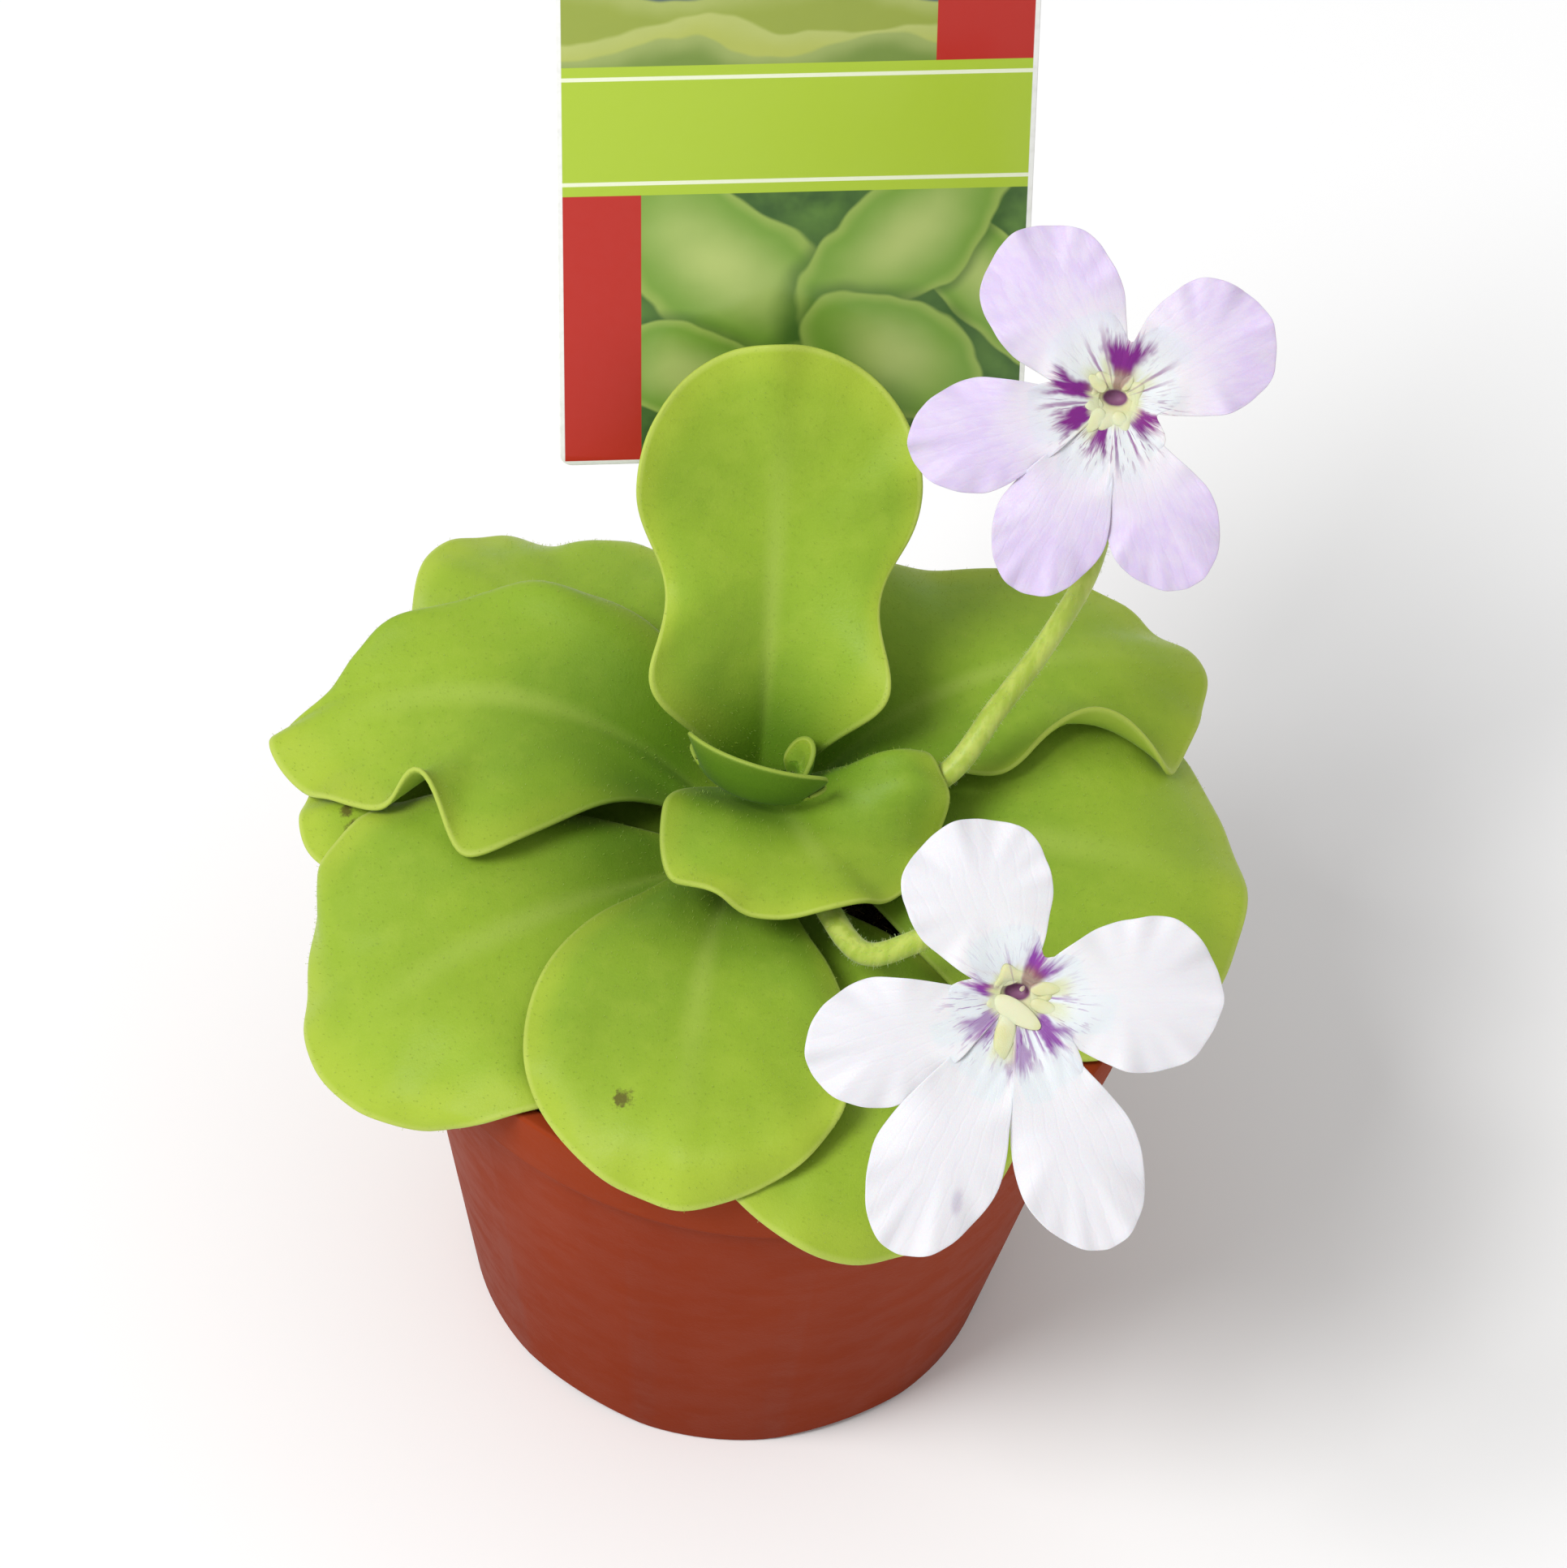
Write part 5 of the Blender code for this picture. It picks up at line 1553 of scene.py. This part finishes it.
def throat(bloom):
    """The tube's outside, the throat's folded rim and its inside, from (radius, height, fold) stations."""
    around = all_round(THROAT_STEPS)
    fold = towards_petals(bloom, around)
    rings = []
    for k, (radius, height, pull) in enumerate(THROAT):
        out = (radius + FOLD_REACH * pull * (fold - 0.35)) * MM
        up = (height + FOLD_RISE * min(1, 2 * pull) * (fold - 0.3)) * MM
        inside = smoothed((k - THROAT_OUTSIDE) / THROAT_FOLD)
        rings.append(ring(out, around, up) * (1 + MOUTH_WIDER * inside, 1 - MOUTH_FLATTER * inside, 1)
                     + (0, bloom["mouth"] * inside * MM, 0))
    poles = [(0, 0, -TUBE_LENGTH), (0, bloom["mouth"] * MM, -1.6 * MM)]
    points = np.vstack([*rings, poles])
    stations = np.arange(len(THROAT))
    outside = np.append(np.repeat(stations < THROAT_OUTSIDE, THROAT_STEPS), [1, 0])
    folded = (stations >= THROAT_OUTSIDE - 1) & (stations < THROAT_OUTSIDE + THROAT_FOLD)
    rim = np.append(np.repeat(folded, THROAT_STEPS), [0, 0])
    numbers = plain_numbers(points, outside=outside, upper=PALATE * rim)
    return points, ring_faces(len(THROAT), THROAT_STEPS), numbers


def ridge(start, end, width, height, lift, sides=16, rings=20):
    """A low rounded ridge along the face from one place to another, with shallow furrows along it."""
    run = np.array([end[0] - start[0], end[1] - start[1], 0.0])
    length = np.linalg.norm(run)
    side = np.array([-run[1], run[0], 0.0]) / length
    turns = all_round(sides)
    furrowed = np.sin(turns) * (1 - FURROW_DEPTH * np.cos(FURROWS * turns) ** 2)
    rows = []
    for share in (np.arange(rings) + 0.5) / rings:
        size = sin(pi * share ** 0.8) ** 0.5
        middle = (*start, lift) + run * share + (0, 0, RIDGE_RISE * share * length)
        rows.append(middle + np.outer(np.cos(turns), side) * width * size
                    + np.outer(furrowed, (0, 0, 1)) * height * size)
    tips = [(*start, lift), (*end, lift + RIDGE_RISE * length)]
    points = np.vstack([*rows, tips]) * MM
    return points, ring_faces(rings, sides), plain_numbers(points, upper=np.full(len(points), PALATE))


def spur():
    route = smooth_route(SPUR_ROUTE, SPUR_FINE) * MM
    radii = np.linspace(*SPUR_TAPER, SPUR_FINE) * SPUR_RADIUS
    radii[-len(SPUR_TIP):] *= SPUR_TIP
    points, faces = tube(route, radii, SPUR_SIDES)
    return points, faces, plain_numbers(points, outside=np.ones(len(points)))


def plain_numbers(points, **values):
    """The numbers of a part that isn't a sheet, with those given by name."""
    numbers = {label: np.zeros(len(points)) for label in ("across", "along", "radius", "upper", "outside")}
    return {**numbers, **values}


def grow_bloom(name, bloom):
    face = facing_frame(bloom)
    parts = petals(bloom)
    parts += webs(bloom, parts)
    parts = [(points, faces, {**numbers, "outside": 1 - numbers["upper"]})
             for points, faces, numbers in parts]
    parts += [throat(bloom), spur()] + [ridge(*values) for values in bloom["ridges"]]
    points, faces = joined([part[:2] for part in parts])
    carries = {label: np.concatenate([part[2][label] for part in parts]) for label in parts[-1][2]}
    for axis, label in enumerate(("face_x", "face_y", "face_z")):
        carries[label] = points[:, axis] / MM
    mesh = made_mesh(name, placed(points, face), faces, carries)
    add_piece("corolla_" + name, mesh, petal_finishes[name], name.replace("bloom", "petal"), name)


# %% Making the blooms
for name, bloom in BLOOMS.items():
    grow_bloom(name, bloom)

# %% [markdown]
# ## The label
#
# Growers push a printed plastic card into the pot. The card and its pointed stake are cut from one
# sheet, so its outline is drawn once, given its thickness, and its cut edge is broken by a tiny bevel.
# Its print is bands and blocks of plain colour and two simple pictures, hills under a sky and round
# leaves. They are drawn by distance and height alone, so they stay sharp however near one looks.

# %% The label's card
CARD_BEVEL = 0.12 * MM
CORNER_STEPS = 8


def card_outline():
    half, stake, tip = CARD_WIDTH / 2, STAKE_WIDTH / 2, STAKE_TIP / 2
    outline = [(stake, 0), (stake, STAKE_POINT - STAKE_DEPTH), (tip, -STAKE_DEPTH), (-tip, -STAKE_DEPTH),
               (-stake, STAKE_POINT - STAKE_DEPTH), (-stake, 0)]
    for x, y, first in ((-half, 0, 270), (-half, CARD_HEIGHT, 180), (half, CARD_HEIGHT, 90), (half, 0, 0)):
        middle_x = x - CARD_CORNER * (1 if x > 0 else -1)
        middle_y = y - CARD_CORNER * (1 if y > 0 else -1)
        for k in range(CORNER_STEPS + 1):
            a = radians(first - 90 * k / CORNER_STEPS)
            outline.append((middle_x + CARD_CORNER * cos(a), middle_y + CARD_CORNER * sin(a)))
    return outline


def card_mesh():
    outline = card_outline()
    count = len(outline)
    points = [(x, y, z) for z in (-CARD_THICKNESS / 2, CARD_THICKNESS / 2) for x, y in outline]
    faces = [tuple(range(count)), tuple(range(2 * count - 1, count - 1, -1))]
    faces += [(k, (k + 1) % count, count + (k + 1) % count, count + k) for k in range(count)]
    made = loose_object("card_blank", made_mesh("card_blank", points, faces))
    bevel = made.modifiers.new("broken edge", "BEVEL")
    bevel.width = CARD_BEVEL
    bevel.segments = 2
    bevel.limit_method = "ANGLE"
    bevel.angle_limit = radians(60)
    split = made.modifiers.new("triangles", "TRIANGULATE")
    split.min_vertices = 5
    mesh = evaluated_mesh(made)
    mesh.transform(card_frame())
    mesh.set_sharp_from_angle(angle=CUT_CREASE)
    return mesh


print("card corners:", len(card_outline()))

# %% The label's print
PRINT_EDGE = 0.05


def band(value, low, high):
    """1 between two places, with a sharp but not jagged edge."""
    return (eased(value, low - PRINT_EDGE, low + PRINT_EDGE)
            * eased(value, high - PRINT_EDGE, high + PRINT_EDGE, 1.0, 0.0))


def round_leaf(x, y, middle, size, lean):
    """The distance from a round leaf's middle as a share of its size, with one side longer."""
    across = x - middle[0]
    leaned = y - middle[1] + across * lean
    return calc("SQRT", across * across + leaned * leaned * 1.7) / size


HILLS = ((73, 3.0, 0.16, 0.5, (0.10, 0.19, 0.20)), (68, 2.2, 0.23, 2.0, (0.045, 0.115, 0.03)),
         (64.5, 1.6, 0.17, 4.1, (0.05, 0.085, 0.13)), (61.5, 1.4, 0.21, 1.2, (0.30, 0.36, 0.05)),
         (57, 1.3, 0.2, 3.3, (0.44, 0.48, 0.10)), (54.5, 0.9, 0.26, 5.0, (0.16, 0.25, 0.04)))
PICTURE_LEAVES = (((-9, 27), 14, 0.5), ((24, 22), 11, 0.9), ((13, 30), 12, -0.7), ((1, 5), 14, -0.35),
                  ((-12, 12), 9, 0.2), ((12, 14), 10.5, 0.25))


def sky_and_hills(x, y, sway):
    picture = layered((0.42, 0.60, 0.72), (eased(y, 70, 88), (0.16, 0.33, 0.52)))
    for height, swell, turns, phase, shade in HILLS:
        crest = calc("SINE", x * turns + phase) * swell + (sway * 6.0 + height)
        under = crest - y
        lit = layered(shade, (eased(under, 0.0, 3.0, 0.5, 0.0), (0.50, 0.55, 0.20)))
        picture = layered(picture, (eased(under, -0.3, 0.3), lit))
    return picture


def round_leaves(x, y, sway, soft):
    """Round leaves that overlap, each with its shade on those beneath."""
    foliage = layered((0.015, 0.07, 0.012), (eased(soft, 0.3, 0.7), (0.08, 0.20, 0.03)))
    for middle, size, lean in PICTURE_LEAVES:
        share = sway * 0.7 + round_leaf(x, y, middle, size, lean)
        lit = layered((0.46, 0.56, 0.17), (eased(share, 0.0, 0.9), (0.17, 0.33, 0.035)),
                      (eased(share, 0.78, 1.0, 0.0, 0.6), (0.40, 0.50, 0.12)))
        foliage = layered(foliage, (eased(share, 0.95, 1.3, 0.7, 0.0), (0.02, 0.09, 0.012)),
                          (eased(share, 0.96, 1.03, 1.0, 0.0), lit))
    return foliage


def printed_card():
    made, place = new_finish("printed_card", Coat_Weight=0.2, Coat_Roughness=0.15, Specular_IOR_Level=0.3)
    x, y, z = axes_of(read(place.tree, "ShaderNodeMapping", {
        "Vector": place, "Location": CARD_FOOT, "Rotation": card_frame().to_euler(), "Scale": (MM, MM, MM)},
        vector_type="TEXTURE"))
    soft = cloudy(place, 190, 3.0)
    sway = cloudy(place, 90) - 0.5
    wear = cloudy(place, 900, 3.0)
    red = (0.47, 0.017, 0.009)
    border_lines = calc("MAXIMUM", band(y, 37.3, 37.8), band(y, 50.7, 51.2))
    picture = layered(
        sky_and_hills(x, y, sway),
        (eased(y, 44, 45, 1.0, 0.0), round_leaves(x, y, sway, soft)), (soft * 0.25, (0.22, 0.30, 0.06)),
        (band(y, 36, 52.5), (0.40, 0.55, 0.035)), (border_lines, (0.80, 0.84, 0.62)),
        (band(x, 15.5, 30) * band(y, 52.5, 90), red), (band(x, -30, -17.5) * band(y, -1, 36), red))

    # The white border, edge and back, and the stake's foot, stained by the soil.
    face = band(x, -26.4, 26.4) * band(y, 0.6, 87.4) * eased(z, 0.30, 0.36)
    colour = layered((0.86, 0.86, 0.84), (eased(wear, 0.4, 0.8), (0.78, 0.78, 0.75)),
                     (eased(y, -40, -32, 0.45, 0.0), (0.16, 0.10, 0.055)), (face, picture))
    return painted(made, colour, eased(wear, 0.3, 0.75, 0.32, 0.45), wear, 0.12, 0.0002)


add_piece("label_print", card_mesh(), printed_card(), "label_card", "label")

# %% [markdown]
# ## The floor, the light and the camera
#
# The object stands on a plain white floor in even studio light. A bright world gives the soft fill, a
# large lamp from the upper left gives the leaves their shape, and the camera looks down from the
# photograph's angle: its place, lens and slight roll were worked out from the pot's outline.

# %% The floor and the light
FLOOR_SIZE = 2.5
WORLD_LIGHT = 0.62
LAMP_PLACE = Vector((-1.5, -1.1, 2.4))
LAMP_AIM = Vector((0, 0, 0.08))
LAMP_SIZE = 1.3
LAMP_POWER = 66


def white_floor():
    mesh = plain_form("floor", bmesh.ops.create_grid, x_segments=2, y_segments=2, size=FLOOR_SIZE)
    finish, place = new_finish("white_floor", Roughness=0.7, Specular_IOR_Level=0.2)
    colour = layered((0.90, 0.90, 0.90), (cloudy(place, 3.0, 1.0), (0.92, 0.92, 0.92)))
    mesh.materials.append(painted(finish, colour))
    made = loose_object("floor", mesh)


def soft_lamp():
    data = bpy.data.lights.new("key", "AREA")
    data.shape = "DISK"
    data.size = LAMP_SIZE
    data.energy = LAMP_POWER
    made = loose_object("key", data)
    made.location = LAMP_PLACE
    made.rotation_euler = (LAMP_AIM - LAMP_PLACE).to_track_quat("-Z", "Y").to_euler()


def bright_world():
    world = bpy.data.worlds.new("studio")
    world.use_nodes = True
    background = world.node_tree.nodes["Background"]
    background.inputs["Color"].default_value = (1, 1, 1, 1)
    background.inputs["Strength"].default_value = WORLD_LIGHT
    bpy.context.scene.world = world


white_floor()
bright_world()
soft_lamp()
print("lamp size in metres:", LAMP_SIZE)

# %% The camera
CAMERA_AIM = Vector((0.4, 0, 85.92)) * MM
CAMERA_DISTANCE = 650 * MM
CAMERA_ELEVATION = radians(49.66)
CAMERA_ROLL = radians(6.41)
CAMERA_LENS = 131.5
CAMERA_SENSOR = 36


def aimed_camera():
    back = Vector((0, -cos(CAMERA_ELEVATION), sin(CAMERA_ELEVATION)))
    up = Vector((0, sin(CAMERA_ELEVATION), cos(CAMERA_ELEVATION)))
    right = Vector((1, 0, 0))
    rolled_right = right * cos(CAMERA_ROLL) + up * sin(CAMERA_ROLL)
    rolled_up = up * cos(CAMERA_ROLL) - right * sin(CAMERA_ROLL)
    data = bpy.data.cameras.new("camera")
    data.lens = CAMERA_LENS
    data.sensor_width = CAMERA_SENSOR
    place = Matrix((rolled_right, rolled_up, back)).transposed().to_4x4()
    place.translation = CAMERA_AIM + back * CAMERA_DISTANCE
    made = loose_object("camera", data)
    made.matrix_world = place
    bpy.context.scene.camera = made


bpy.context.scene.view_settings.view_transform = "Standard"
aimed_camera()
print("camera lens in mm:", CAMERA_LENS)
